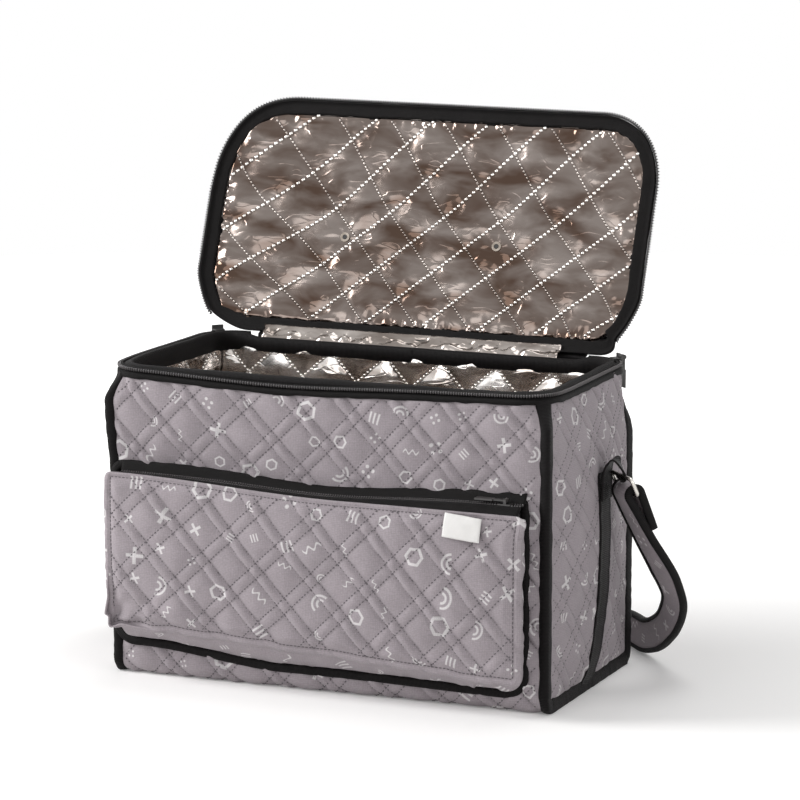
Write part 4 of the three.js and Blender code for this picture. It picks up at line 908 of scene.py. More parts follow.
# Main zip, body half: black polyester tape sewn along the top of the wall, with a coil of nylon teeth
# along its upper edge. It stops short of the hinge at both ends.
COIL_PITCH, COIL_FOOT, COIL_TOP, COIL_OUT, COIL_END = 2.3, 267.9, 271.3, 0.3, 95.5
TOOTH_WIDE, TOOTH_DEEP, TAPE_END = 1.25, 2.7, 160

# Zip tape: woven finer than the bindings, so it looks flatter, with a duller gleam.
zip_tape = grosgrain("zip_tape", "#090808", "#1b1818", rib=0.9, gloss=0.7)

# Zip coil: black nylon monofilament wound to a coil and set. It is smooth, so each turn gives a small
# highlight;
# the turns are painted a paler grey in patches of 6 mm, painted highlight, and the core between them near
# black, painted shade.
coil, tree = bare_finish("nylon_coil")
gleam_patches = add(tree, "TexNoise", {"Scale": 1 / (6.25 * MM), "Detail": 2.0})
colour = add(tree, "Mix", {
    "Factor": gleam_patches, "A": linear("#2a2627"), "B": linear("#5a5556"),
}, out="Result", data_type="RGBA")
spot = add(tree, "Attribute", out="Vector", attribute_name="cloth")
core = add(tree, "SeparateXYZ", {0: spot}, out="Z")
# Painted shade: the core between the turns, marked by a third cloth coordinate of 1, is near black.
colour = add(tree, "Mix", {
    "Factor": core, "A": colour, "B": linear("#0a0909"),
}, out="Result", data_type="RGBA")
rough = add(tree, "MapRange", {"Value": gleam_patches, "To Min": 0.16, "To Max": 0.32})
bump = add(tree, "Bump", {"Height": gleam_patches, "Strength": 0.1, "Distance": 0.0003})
shader = add(tree, "BsdfPrincipled", {"Base Color": colour, "Roughness": rough, "IOR": 1.53, "Normal": bump})
add(tree, "OutputMaterial", {"Surface": shader})


def chain(name, starts, ends, up, core):
    """A row of coil turns on a thin core."""
    points, faces = grains(starts, ends, up, TOOTH_WIDE, TOOTH_DEEP, 6)
    cored, sides = tube(core)
    # The core's third cloth coordinate is 1, so the coil paints it near black, painted shade between the
    # turns.
    cloth = np.concatenate([0 * points, np.tile([0.0, 0.0, 1.0], (len(cored), 1))])
    faces = faces + [f + len(points) for f in sides]
    return mesh_object(name, np.concatenate([points, cored]), faces, coil, cloth)


def mouth_chain(name, stop_y, foot, top, sag_share, turned, front=CORNER):
    """Coil turns round the mouth between the two rear corners."""
    spots, ways = mouth_ring(COIL_PITCH, front)
    keep = spots[:, 1] < stop_y
    spots, ways = spots[keep], ways[keep]
    drop = rim_sag(spots[:, 0], spots[:, 1]) * sag_share
    flat = spots + ways * COIL_OUT
    starts = turned(np.concatenate([flat, (foot + drop)[:, None]], 1))
    ends = turned(np.concatenate([flat, (top + drop)[:, None]], 1))
    up = turned(np.concatenate([flat + ways, (top + drop)[:, None]], 1)) - ends
    section = np.array([(-1.3, foot + 0.5), (0.2, foot + 0.5), (0.2, top - 0.5), (-1.3, top - 0.5)])
    core = mouth_rings(spots, ways, section)
    core[..., 2] += drop[:, None]
    return chain(name, starts, ends, up, turned(core))


order = np.flatnonzero((np.abs(spots[:, 0]) > TAPE_END) | (spots[:, 1] < HALF_D - 0.01))
fringe = 0.5 * waver(run, 9, 34)[order]
tape_section = np.stack([
    np.stack(np.broadcast_arrays(a, z + sag[order]), -1) for a, z in (
        (-3.5, 266.5), (-3.3, 271.2), (-1.8, 271.2), (-1.6, 267.6), (0.6, 267.0), (1.7, 265.8),
        (1.9, 262.2 + fringe), (1.0, 262.0 + fringe), (0.4, 265.6), (-1.0, 266.3),
    )], 1)
tape_rings = leaned(mouth_rings(spots[order], ways[order], tape_section))
tape = band("body_zip_tape_cloth", tape_rings, zip_tape)
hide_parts("body_zip_tape")
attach(tape, "bag")
body_chain = mouth_chain("body_coil_turns", COIL_END, COIL_FOOT, COIL_TOP, 1.0, leaned)
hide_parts("body_zip_coil")
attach(body_chain, "bag")

# Hinge: a strip of black cloth outside and a strip of crackled film inside, sewn to the back wall's top edge
# and to the rear edge of the lid.
HINGE_Y, HINGE_Z, LID_TURN = 101.5, 271.3, math.radians(112)

# Shaded film: a darker copy of the same film, a mid grey, painted shade, and a little rougher.
shaded_foil = film("aluminised_film_painted_shade", "#7d746e", "#b7b0ab", 0.1, 0.24)


def lid_open(points):
    """Turns points drawn with the lid shut to where they are with it open."""
    dy, dz = points[..., 1] - HINGE_Y, points[..., 2] - HINGE_Z
    c, s = math.cos(LID_TURN), math.sin(LID_TURN)
    return np.stack([points[..., 0], HINGE_Y + c * dy + s * dz, HINGE_Z - s * dy + c * dz], -1)


def hinge_strip(name, line, middle, half, thick, ripple, finish):
    """A strip along the hinge through a line of (y, z) points, with gathered ripples."""
    line = np.array(line)
    length = run_along(line)
    fine = np.linspace(0, length[-1], 13)
    path = at_runs(fine, length, line)
    x, k = np.meshgrid(stops(middle - half, middle + half, 2.4, 4), np.arange(len(fine)), indexing="ij")
    base = np.stack([x, path[k, 0], path[k, 1]], -1)
    n = normals_of(base)
    wave = ripple * (swell(x, fine[k], 7, 51) + 0.6 * swell(x, fine[k] * 2, 4, 52))
    wave = wave * np.sin(math.pi * k / (len(fine) - 1))
    points, faces = closed_panel(base + n * wave[..., None], base + n * (wave[..., None] - thick), 1)
    spot = np.stack([x, fine[k], 0 * x], -1).reshape(-1, 3)
    return mesh_object(name, points, faces, finish, np.concatenate([spot, spot]))


film_line = [(93.6, 264.5), (94.6, 268.2), (97.0, 270.6), (100.0, 271.8), (102.6, 273.4), (105.6, 277.6)]
# The hinge's film is the darker copy of the film, painted shade.
hinge_film = hinge_strip("hinge_film", film_line, -8, 142, 0.6, 2.3, shaded_foil)
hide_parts("hinge_lining")
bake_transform(hinge_film)
cloth_line = [
    (102.8, 257.0), (104.4, 259.0), (104.6, 265.0), (104.2, 268.2), (105.2, 269.4), (108.4, 269.4),
    (111.4, 273.0), (112.6, 277.0),
]
hinge_cloth = hinge_strip("hinge_cloth", cloth_line, 0, 157, 1.0, 0.35, black_grosgrain)
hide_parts("hinge_panel")
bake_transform(hinge_cloth)

# Lid, outer panel: printed quilted canvas, slightly crowned, with a foam sheet under it, bound round its
# edge. The border that turns down over the mouth lies flat on the open lid, which hangs a little to the left.
LID_IN, LID_SPREAD, LID_REACH, LID_SKEW, LID_ROUND = 15.5, 13.0, 15.0, -12.0, 26.0
LID_TOP, LID_FOAM_TOP, LID_FOAM_UNDER, LID_FILM = 286.4, 284.0, 279.2, 277.2
LID_OUTWARD, LID_INWARD = (0, 0.93, -0.37), (0, -0.93, 0.37)
lid_w, lid_d, lid_r = HALF_W - LID_IN, HALF_D - LID_IN, CORNER - LID_IN
HANDLE_X, HANDLE_Y, RIVET_X = -14.0, 9.0, 73.0


def lid_spread(points, rim_x=lid_w, rim_y=lid_d):
    """Moves points of the mouth's outline and what it holds out to the open lid's fuller outline."""
    x, y = points[..., 0], points[..., 1]
    side = ease(100, rim_x, np.abs(x))
    spread = LID_SPREAD * ease(90, 45, y) * (1 - 0.25 * ease(-20, -90, y))
    skew = LID_SKEW * ease(104, 84, y) * (1 - 0.35 * ease(-20, -90, y))
    wide = x + (np.sign(x) * spread + skew) * side
    return np.stack([wide, y - LID_REACH * ease(-10, -rim_y, y), points[..., 2]], -1)


def lid_face(level):
    """Places points of the lid at a level over the shut lid, in by its round corners."""
    def place(x, y):
        nx, ny = rounded(x, y, lid_w, lid_d, np.where(y < 0, lid_r + LID_ROUND, lid_r))
        return lid_open(lid_spread(np.stack(np.broadcast_arrays(nx, ny, level + 0.0 * nx), -1)))
    return place


def lid_height(x, y):
    """Quilted and crowned height of the lid, pressed flat under the handle's two feet."""
    edge = np.minimum(lid_w - np.abs(x), lid_d - np.abs(y))
    right_foot = np.hypot(x - HANDLE_X - RIVET_X, y - HANDLE_Y)
    left_foot = np.hypot(x - HANDLE_X + RIVET_X, y - HANDLE_Y)
    feet = np.minimum(right_foot, left_foot)
    rise = puff(x, y) * ease(0, 9, edge) * ease(14, 26, feet)
    crown = 1.8 * (1 - (x / lid_w) ** 4) * (1 - (y / lid_d) ** 4)
    return rise * 0.9 + (crown + 0.4 * swell(x, y, 40, 61)) * ease(0, 12, edge) * ease(14, 40, feet)


lid_xs, lid_ys = stops(-lid_w, lid_w, 2.0, 4), stops(-lid_d, lid_d, 2.0, 4)
lid_canvas = quilted_piece(
    "lid_canvas", lid_face(LID_TOP), lid_height, lid_xs, lid_ys, 2.0, LID_OUTWARD, canvas, (300, 900, 1))
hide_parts("lid_outer")
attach(lid_canvas, "lid")
lid_thread = sewn_rows(
    "lid_stitches", lid_face(LID_TOP), lid_height, (-lid_w + 4, -lid_d + 4), (lid_w - 4, lid_d - 4),
    LID_OUTWARD, thread)
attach(lid_thread, "lid")
foam_xs, foam_ys = np.linspace(-lid_w + 0.5, lid_w - 0.5, 41), np.linspace(-lid_d + 0.5, lid_d - 0.5, 25)
x, y = np.meshgrid(foam_xs, foam_ys, indexing="ij")
points, faces = closed_panel(lid_face(LID_FOAM_TOP)(x, y), lid_face(LID_FOAM_UNDER)(x, y), 1)
lid_sheet = mesh_object("lid_foam_sheet", points, faces, foam)
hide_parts("lid_foam")
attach(lid_sheet, "lid")

# Lid, lining: the same quilted film, gathered round its edge and drawn in at the two points where the
# handle's rivets go through. Its edge is caught under the tape that binds the lid.
PUCKERS = ((HANDLE_X - RIVET_X, HANDLE_Y), (HANDLE_X + RIVET_X, HANDLE_Y))
UNDER_TAPE = 1.7
FILM_W, FILM_D = lid_w + UNDER_TAPE, lid_d + UNDER_TAPE
QUILT_X, QUILT_Y = 123.0, HALF_D - 145.0

# Lid film: a dark copy of the same film, taupe to pewter, painted shade and painted reflections of a dark
# surround.
lid_shaded_foil = film("aluminised_film_painted_dark", "#54443b", "#867d78")


def film_spot(x, y):
    """Where a point of the lining's square pattern lies once its corners are cut round."""
    corner = np.where(y < 0, lid_r + LID_ROUND + UNDER_TAPE, lid_r + UNDER_TAPE)
    return rounded(x, y, FILM_W, FILM_D, corner)


def film_flat(x, y):
    """Where a point of the lining lies on the open lid, before it is quilted."""
    return lid_open(lid_spread(np.stack(np.broadcast_arrays(x, y, LID_FILM + 0.0 * x), -1)))


def film_relief(x, y):
    """Quilted, creased and gathered height of the lid's lining."""
    edge = np.minimum(FILM_W - np.abs(x), FILM_D - np.abs(y))
    lift = puff(x + QUILT_X, QUILT_Y - y, FOIL_LINES, 0.0, 2.7, 0.9)
    lift = lift + 0.55 * crackle(x * 0.55, y * 1.2, 71)
    lift = lift * (0.15 + 0.85 * ease(0, 14, edge))
    along = np.where(FILM_W - np.abs(x) < FILM_D - np.abs(y), y, x)
    at_edge = np.exp(-np.maximum(edge - 3, 0) / 6) * ease(-1, 3, edge)
    lift = lift + (1.7 * swell(along, edge * 0.3, 5, 75) + 0.8) * at_edge
    for px, py in PUCKERS:
        away, turn = np.hypot(x - px, y - py), np.arctan2(y - py, x - px)
        near = np.exp(-away / 9)
        lift = lift * (1 - near) - 0.2 * near
        lift = lift + 0.8 * np.cos(7 * turn + px) * np.exp(-away / 17) * (1 - np.exp(-away / 6))
    return lift


film_xs, film_ys = stops(-FILM_W, FILM_W, 1.6, 4), stops(-FILM_D, FILM_D, 1.6, 4)
lid_film = quilted_piece(
    "lid_film", lambda x, y: film_flat(*film_spot(x, y)), lambda x, y: film_relief(*film_spot(x, y)),
    film_xs, film_ys, FILM_DEPTH, LID_INWARD, lid_shaded_foil)
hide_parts("lid_lining")
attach(lid_film, "lid")
bead_shift = np.array([-QUILT_X, QUILT_Y])


def on_film(u, v):
    """Whether a bead of the pattern lies on the lining inside its round corners."""
    x, y = u + bead_shift[0], v + bead_shift[1]
    r = np.where(y < 0, lid_r + LID_ROUND, lid_r)
    dx, dy = np.abs(x) - (lid_w - r), np.abs(y) - (lid_d - r)
    return np.hypot(np.maximum(dx, 0), np.maximum(dy, 0)) < r


film_corner = np.array([FILM_W, FILM_D])
# The beads of one row take the paler copy of the film, painted glints, and those of the other the darker
# copy, painted shade.
for number, ((turn, pitch), wide, gap, gleam) in enumerate(
        zip(FOIL_LINES, (3.3, 2.0), (4.1, 3.1), (glinting_bead_foil, shaded_foil))):
    lid_beads = sewn_rows(
        f"lid_film_beads_{number}", lambda u, v: film_flat(u + bead_shift[0], v + bead_shift[1]),
        lambda u, v: film_relief(u + bead_shift[0], v + bead_shift[1]),
        -film_corner - bead_shift, film_corner - bead_shift, LID_INWARD, gleam, lift=0.45,
        size=(wide, wide * 0.8, 6), lines=((-turn, pitch),), split=0.0, pitch=gap, length=gap * 0.8,
        inside=on_film)
    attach(lid_beads, "lid")

# Lid, edge: black grosgrain binding round the foam, a flat border of zip tape round the film, and the lid
# half of the zip's coil along its outer edge.
LID_COIL_FOOT, LID_COIL_TOP, LID_COIL_END = 273.0, 276.4, 88.5
edge_section = np.array([
    (-16.0, 277.3), (-13.7, 276.9), (-12.7, 277.7), (-12.5, 282.0), (-12.8, 285.6), (-14.1, 287.2),
    (-16.4, 287.9), (-20.5, 287.9), (-21.0, 287.2), (-16.6, 286.6), (-15.2, 285.2), (-15.1, 279.2),
])
lid_spots, lid_ways = mouth_ring(RIM_PITCH, CORNER + LID_ROUND)
lid_spots = lid_spread(np.concatenate([lid_spots, 0 * lid_spots[:, :1]], 1), HALF_W, HALF_D)[:, :2]
run = np.arange(len(lid_spots)) * RIM_PITCH
ripple = 0.3 * waver(run, 6, 81)
shift = np.stack([ripple, 0.5 * ripple], -1)[:, None]
edge_rings = mouth_rings(lid_spots, lid_ways, edge_section[None] + shift)
lid_edge = band("lid_edge_tape", lid_open(edge_rings), black_grosgrain, closed=True)
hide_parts("lid_edge_binding")
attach(lid_edge, "lid")
border_section = np.array([
    (-14.2, 275.6), (-13.2, 274.9), (-12.0, 274.8), (-7.0, 274.7), (-3.4, 274.5), (-3.1, 272.9),
    (-1.8, 272.8), (-1.5, 276.4), (-3.0, 277.0), (-10.0, 276.9), (-13.2, 276.8), (-14.3, 276.4),
])
wave = 0.35 * waver(run, 26, 82)
frill = 0.7 * waver(run, 8, 83)
inner_edge = np.array([1, 1, 0, 0, 0, 0, 0, 0, 0, 0, 1, 1.0])
shift = np.stack(np.broadcast_arrays(inner_edge[None] * frill[:, None], wave[:, None]), -1)
border_rings = mouth_rings(lid_spots, lid_ways, border_section[None] + shift)
border = band("lid_zip_border", lid_open(border_rings), zip_tape, closed=True)
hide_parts("lid_zip_tape")
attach(border, "lid")
lid_chain = mouth_chain(
    "lid_coil_turns", LID_COIL_END, LID_COIL_FOOT, LID_COIL_TOP, 0.0,
    lambda p: lid_open(lid_spread(p, HALF_W, HALF_D)), CORNER + LID_ROUND)
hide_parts("lid_zip_coil")
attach(lid_chain, "lid")

# Carry handle: a length of 25 mm black polypropylene webbing on the outside of the lid, arched so that a hand
# goes under it, and fixed through the foam by a rivet and washer at each end.
HANDLE_LEVEL, HANDLE_ARCH, HANDLE_THICK, HANDLE_FOOT = 288.0, 26, 2.0, 16.0
WEBBING_WIDTH = 25.0

# Polypropylene webbing: coarser ribs than the bindings, drawn at their own 1.7 mm, with a waxy plastic gleam.
webbing = grosgrain("polypropylene_webbing", "#0b0a0a", "#242021", rib=1.7, gloss=0.55)


def webbing_section(width, thick):
    """Section of a flat woven strap: rounded selvedges a little thicker than the middle."""
    half, t = width / 2, thick / 2
    upper = [
        (half - 0.1, t * 0.5), (half - 0.7, t * 1.15), (half - 1.8, t * 1.1), (half - 2.6, t * 0.85),
        (half * 0.4, t),
    ]
    upper = upper + [(-a, b) for a, b in reversed(upper)]
    return np.array(upper + [(a, -b) for a, b in reversed(upper)])


def carried(origins, across, up, section):
    """Rings of a section carried along a path."""
    section = np.broadcast_to(section, (len(origins),) + np.shape(section)[-2:])
    return origins[:, None] + across[:, None] * section[..., :1] + up[:, None] * section[..., 1:]


reach = RIVET_X - HANDLE_FOOT
arch = np.linspace(0, math.pi, 49)[1:-1]
handle_x = np.concatenate([
    np.linspace(-RIVET_X - HANDLE_FOOT, -RIVET_X + HANDLE_FOOT, 12), -reach * np.cos(arch),
    np.linspace(reach, RIVET_X + HANDLE_FOOT, 12),
])
handle_z = np.concatenate([np.zeros(12), HANDLE_ARCH * np.sin(arch), np.zeros(12)])
handle_z = np.convolve(np.pad(handle_z, 2, mode="edge"), np.ones(5) / 5, mode="valid")
origins = np.stack([HANDLE_X + handle_x, 0 * handle_x + HANDLE_Y, HANDLE_LEVEL + handle_z], -1)
across = np.tile([0, 1.0, 0], (len(origins), 1))
up = np.cross(unit(np.gradient(origins, axis=0)), across)
rings = carried(origins, across, up, webbing_section(WEBBING_WIDTH, HANDLE_THICK))
handle = band("lid_handle_webbing", lid_open(rings), webbing)
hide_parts("lid_handle")
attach(handle, "lid")

# Rivets, washers, zip sliders and pulls: small pressed or die-cast metal fittings. The rivets are closed
# through the lid, and the sliders are threaded on their zips, each with its pull hung in a loop.

# Black enamelled zinc: a thin glossy coat over the casting, with scuffs of about 2 mm and edges rubbed grey.
enamel, tree = bare_finish("black_enamelled_zinc")
spot = add(tree, "TexCoord", out="Object")
scuff = add(tree, "TexNoise", {"Vector": spot, "Scale": 1 / (2.38 * MM), "Detail": 4.0})
edge = add(tree, "NewGeometry", out="Pointiness")
edge = add(tree, "MapRange", {"Value": edge, "From Min": 0.52, "From Max": 0.6})
mark = add(tree, "Math", {0: edge, 1: scuff}, operation="MULTIPLY")
colour = add(tree, "Mix", {
    "Factor": mark, "A": linear("#111011"), "B": linear("#4d4a49"),
}, out="Result", data_type="RGBA")
rough = add(tree, "MapRange", {"Value": scuff, "To Min": 0.25, "To Max": 0.48})
bump = add(tree, "Bump", {"Height": scuff, "Strength": 0.06, "Distance": 0.0003})
shader = add(tree, "BsdfPrincipled", {"Base Color": colour, "Roughness": rough, "Normal": bump, "IOR": 1.52})
add(tree, "OutputMaterial", {"Surface": shader})

# Tinned brass, for the washers inside the lid: a soft warm grey metal, dulled in patches of about 4 mm.
tinned, tree = bare_finish("tinned_brass")
spot = add(tree, "TexCoord", out="Object")
dull = add(tree, "TexNoise", {"Vector": spot, "Scale": 1 / (3.85 * MM), "Detail": 3.0})
colour = add(tree, "Mix", {
    "Factor": dull, "A": linear("#8a7f74"), "B": linear("#b8b0a6"),
}, out="Result", data_type="RGBA")
rough = add(tree, "MapRange", {"Value": dull, "To Min": 0.2, "To Max": 0.42})
shader = add(tree, "BsdfPrincipled", {"Base Color": colour, "Metallic": 1.0, "Roughness": rough})
add(tree, "OutputMaterial", {"Surface": shader})

WORN_EDGE = 0.3 * MM
for name, plate in (
    ("handle_rivet_left", enamel), ("handle_rivet_right", enamel),
    ("rivet_washer_left", tinned), ("rivet_washer_right", tinned),
    ("left_slider", enamel), ("right_slider", enamel), ("left_pull", enamel), ("right_pull", enamel),
    ("pocket_slider", enamel), ("pocket_pull", enamel),
):
    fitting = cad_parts[name]
    fitting.data.materials.clear()
    fitting.data.materials.append(plate)
    softened = fitting.modifiers.new("worn_edges", "BEVEL")
    softened.width = WORN_EDGE
    softened.segments = 2
    softened.limit_method = "ANGLE"

# Pocket, front panel: quilted printed canvas over thin wadding, hemmed with a row of stitches in from a
# rolled edge. It hangs lower at its right end, its top edge sags, and its lower left corner is crumpled.
POCKET_X, POCKET_HALF, POCKET_FACE = -4.0, 191.0, -128.7
POCKET_MID, POCKET_RISE, POCKET_HEM, POCKET_CORNER = 106.0, 70.0, 7.0, 9
POCKET_QUILT = 11
CRUMPLED = (-195, 36)


def pocket_hang(x, z):
    """How far the soft pocket hangs from its square shape, across and up."""
    upper = ease(POCKET_MID - POCKET_RISE, POCKET_MID + POCKET_RISE, z)
    top = 7.0 - 8.6 * ease(-190, 20, x)
    foot = 8.5 - 6.5 * ease(-150, 20, x) - 10.5 * ease(0, 190, x)
    corner = patch_at(x, z, CRUMPLED, (40, 30))
    ear = patch_at(x, z, (190, 178), (16, 14))
    ruck = patch_at(x, z, CRUMPLED, (26, 22)) * swell(x * 1.4, z * 1.4, 9, 98)
    hem = 1.2 * waver(x, 15, 99) * (1 - upper) ** 6
    across = 5.0 * ear - 4.0 * ease(-110, -185, x) - 1.5 * corner + 3.0 * ruck
    return across, top * upper + foot * (1 - upper) - 2.0 * corner + 3.0 * ruck + hem


def pocket_edge(x, z):
    """Distance in from the panel's edge, with a narrower hem along the top."""
    side, up = POCKET_HALF - np.abs(x - POCKET_X), z - POCKET_MID
    return np.minimum(side, np.minimum(POCKET_RISE + up, POCKET_RISE - up + 3.0))


def pocket_place(x, z):
    """Where a point of the flat panel lies on the pocket: bellied, rolled at its edges and hanging."""
    u, v = (x - POCKET_X) / POCKET_HALF, (z - POCKET_MID) / POCKET_RISE
    nx, nz = rounded(x - POCKET_X, z - POCKET_MID, POCKET_HALF, POCKET_RISE, POCKET_CORNER)
    y = POCKET_FACE - 5 * (1 - u ** 4) * (1 - v ** 2)
    y = y + 3.4 * np.exp(-np.maximum(pocket_edge(x, z), 0) / 3.2)
    y = y + 8 * patch_at(x, z, CRUMPLED, (40, 42))
    dx, dz = pocket_hang(x, z)
    return np.stack(np.broadcast_arrays(nx + POCKET_X + dx, y, nz + POCKET_MID + dz), -1)


def pocket_height(x, z):
    """Quilted height of the panel, with its hem, its crumpled corner and loose wrinkles."""
    edge = pocket_edge(x, z)
    rise = puff(x, z + POCKET_QUILT, height=3.3) * (1 + 0.25 * swell(x, z, 29, 90))
    rise = rise * ease(POCKET_HEM, POCKET_HEM + 9, edge)
    rise = rise - 1.5 * np.exp(-((edge - POCKET_HEM) / 1.5) ** 2) + 0.9 * np.exp(-((edge - 3.2) / 2.2) ** 2)
    corner = patch_at(x, z, (-190, 40), (48, 40))
    folds = 3.0 * swell(x + z, x - z, 17, 91) + 1.4 * swell(x, z, 9, 92)
    foot = 1.6 * np.exp(-((z - 50) / 4.0) ** 2) * waver(x, 19, 93)
    right = 1.5 * swell(x * 0.4, z, 12, 97) * ease(150, 180, x)
    loose = 1.1 * swell(x, z, 44, 94) + 0.5 * swell(x, z, 13, 95)
    gather = 0.7 * swell(x, z, 6, 96) * np.exp(-np.maximum(edge, 0) / 5)
    rise = rise + folds * corner * ease(2, 12, edge)
    return rise + (foot + right + loose) * ease(3, 16, edge) + gather


pocket_xs = stops(POCKET_X - POCKET_HALF, POCKET_X + POCKET_HALF, 1.7, 4)
pocket_zs = stops(POCKET_MID - POCKET_RISE, POCKET_MID + POCKET_RISE, 1.7, 4)
pocket = quilted_piece(
    "pocket_canvas", pocket_place, pocket_height, pocket_xs, pocket_zs, CANVAS_DEPTH, (0, -1, 0), canvas,
    (37, 311, 1), rise=POCKET_QUILT)
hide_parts("pocket_front")
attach(pocket, "bag")
hem_x = POCKET_HALF - POCKET_HEM
hem_low, hem_top = POCKET_MID - POCKET_RISE + POCKET_HEM, POCKET_MID + POCKET_RISE - 4.0
pocket_thread = sewn_rows(
    "pocket_stitches", lambda x, v: pocket_place(x, v - POCKET_QUILT),
    lambda x, v: pocket_height(x, v - POCKET_QUILT), (POCKET_X - hem_x, hem_low + POCKET_QUILT),
    (POCKET_X + hem_x, hem_top + POCKET_QUILT), (0, -1, 0), thread)
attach(pocket_thread, "bag")
hem_line = np.array([
    (-hem_x, hem_top), (-hem_x, hem_low), (hem_x, hem_low), (hem_x, hem_top), (-hem_x, hem_top),
]) + [POCKET_X, 0]
hem_run = run_along(hem_line)
HEM_PITCH, HEM_STITCH = 3.5, 2.6
hem_ends = []
for start in (0.0, HEM_STITCH):
    x, z = at_runs(np.arange(0, hem_run[-1] - 3, HEM_PITCH) + start, hem_run, hem_line).T
    base = pocket_place(x, z)
    n = unit(np.cross(pocket_place(x + 0.5, z) - base, pocket_place(x, z + 0.5) - base))
    n = -n * np.sign(n[:, 1:2])
    hem_ends.append(base + n * (pocket_height(x, z) + 0.35)[:, None])
points, faces = grains(hem_ends[0], hem_ends[1], n, 1.1, 0.9)
pocket_seam = mesh_object("pocket_edge_stitches", points, faces, thread)
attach(pocket_seam, "bag")

# Pocket, gusset and binding: a strip of the printed canvas that holds the front panel off the bag round three
# sides, creased where it turns the corners, and black grosgrain over its seam on the bag.
FOOT_X, FOOT_HALF, FOOT_MID, FOOT_RISE, FOOT_CORNER = -8.5, 186.5, 102.0, 80.0, 14
TOP_CORNER, ROUND_STOPS = 5, 540
GUSSET_FRONT, GUSSET_BACK, GUSSET_THICK = -126.4, -103.4, 1.5


def pocket_outline(centre, half, middle, rise, lower):
    """Points (x, z) round the pocket, from the left side down and round, the way out and the run at each."""
    line, outs = [], []
    corners = ((-1, -1, 180, lower), (1, -1, 270, lower), (1, 1, 360, TOP_CORNER), (-1, 1, 450, TOP_CORNER))
    for sx, sz, start, r in corners:
        for turn in np.radians(np.linspace(start, start + 90, 15)):
            out = np.array([math.cos(turn), math.sin(turn)])
            line.append(np.array([centre + sx * (half - r), middle + sz * (rise - r)]) + r * out)
            outs.append(out)
    line, outs = np.roll(np.array(line), 1, 0), np.roll(np.array(outs), 1, 0)
    line, outs = np.concatenate([line, line[:1]]), np.concatenate([outs, outs[:1]])
    run = run_along(line)
    stop = np.linspace(0, run[-1], ROUND_STOPS, endpoint=False)
    return at_runs(stop, run, line), unit(at_runs(stop, run, outs)), stop


def zip_sag(x):
    """How far the pocket's zip sags in the middle of its length."""
    return -5.5 * np.exp(-((x - 5) / 85) ** 2)


def foot_hang(x, z):
    """How far the seam of the pocket on the bag lies above or below its square shape."""
    upper = ease(40, 160, z)
    return 1.5 * zip_sag(x) * upper + (11 * ease(-40, -175, x) - 2.5 * ease(20, 180, x)) * (1 - upper)


near, near_out, along = pocket_outline(
    POCKET_X, POCKET_HALF - 2.5, POCKET_MID, POCKET_RISE - 2.5, POCKET_CORNER)
outline, outward, foot_along = pocket_outline(FOOT_X, FOOT_HALF, FOOT_MID, FOOT_RISE, FOOT_CORNER)
far = outline
begin = np.argmax(near_out[:, 1] > 0.9)
near, far, near_out = np.roll(near, -begin, 0), np.roll(far, -begin, 0), np.roll(near_out, -begin, 0)
keep = near_out[:, 1] < 0.4
near, far, near_out, along = near[keep], far[keep], near_out[keep], along[keep]
dx, dz = pocket_hang(near[:, 0], near[:, 1])
near = np.stack([near[:, 0] + dx, 0 * dx + GUSSET_FRONT, near[:, 1] + dz], -1)
far = np.stack([far[:, 0], 0 * dx + GUSSET_BACK, far[:, 1] + foot_hang(far[:, 0], far[:, 1])], -1)
near_out = np.stack([near_out[:, 0], 0 * dx, near_out[:, 1]], -1)
depth = np.linspace(0, 1, 15)
wave = 1.6 * swell(along[:, None], depth[None] * 30, 15, 101)
wave = wave + 0.9 * swell(along[:, None], depth[None] * 9, 6, 102)
out = 2.4 * np.sin(math.pi * depth)[None] + wave * np.sin(math.pi * np.clip(depth, 0.05, 0.95))[None]
flat = near[:, None] * (1 - depth)[None, :, None] + far[:, None] * depth[None, :, None]
outer, inner = (flat + near_out[:, None] * (out - inset)[..., None] for inset in (0.0, GUSSET_THICK))
points, faces = closed_panel(outer, inner, 1)
spot = np.stack(np.broadcast_arrays(along[:, None] + 450, 24 * depth[None], 0.0), -1).reshape(-1, 3)
gusset = mesh_object("pocket_gusset_cloth", points, faces, canvas, np.concatenate([spot, spot]))
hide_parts("pocket_gusset")
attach(gusset, "bag")
ripple = 0.7 * waver(foot_along, 7, 103)
binding_section = np.array([
    (-1.5, -103.2), (-1.0, -105.6), (1.2, -106.8), (4.6, -106.4), (6.8, -105.4), (7.4, -104.2), (7.0, -103.0),
])
place = binding_section[None, :, 0] + (binding_section[None, :, 0] < 2) * ripple[:, None]
flat = outline[:, None] + outward[:, None] * place[..., None]
y = binding_section[None, :, 1] - 0.4 * ripple[:, None]
rings = np.stack([flat[..., 0], y, flat[..., 1] + foot_hang(flat[..., 0], flat[..., 1])], -1)
binding = band("pocket_foot_tape", rings, black_grosgrain, closed=True)
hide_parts("pocket_binding")
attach(binding, "bag")

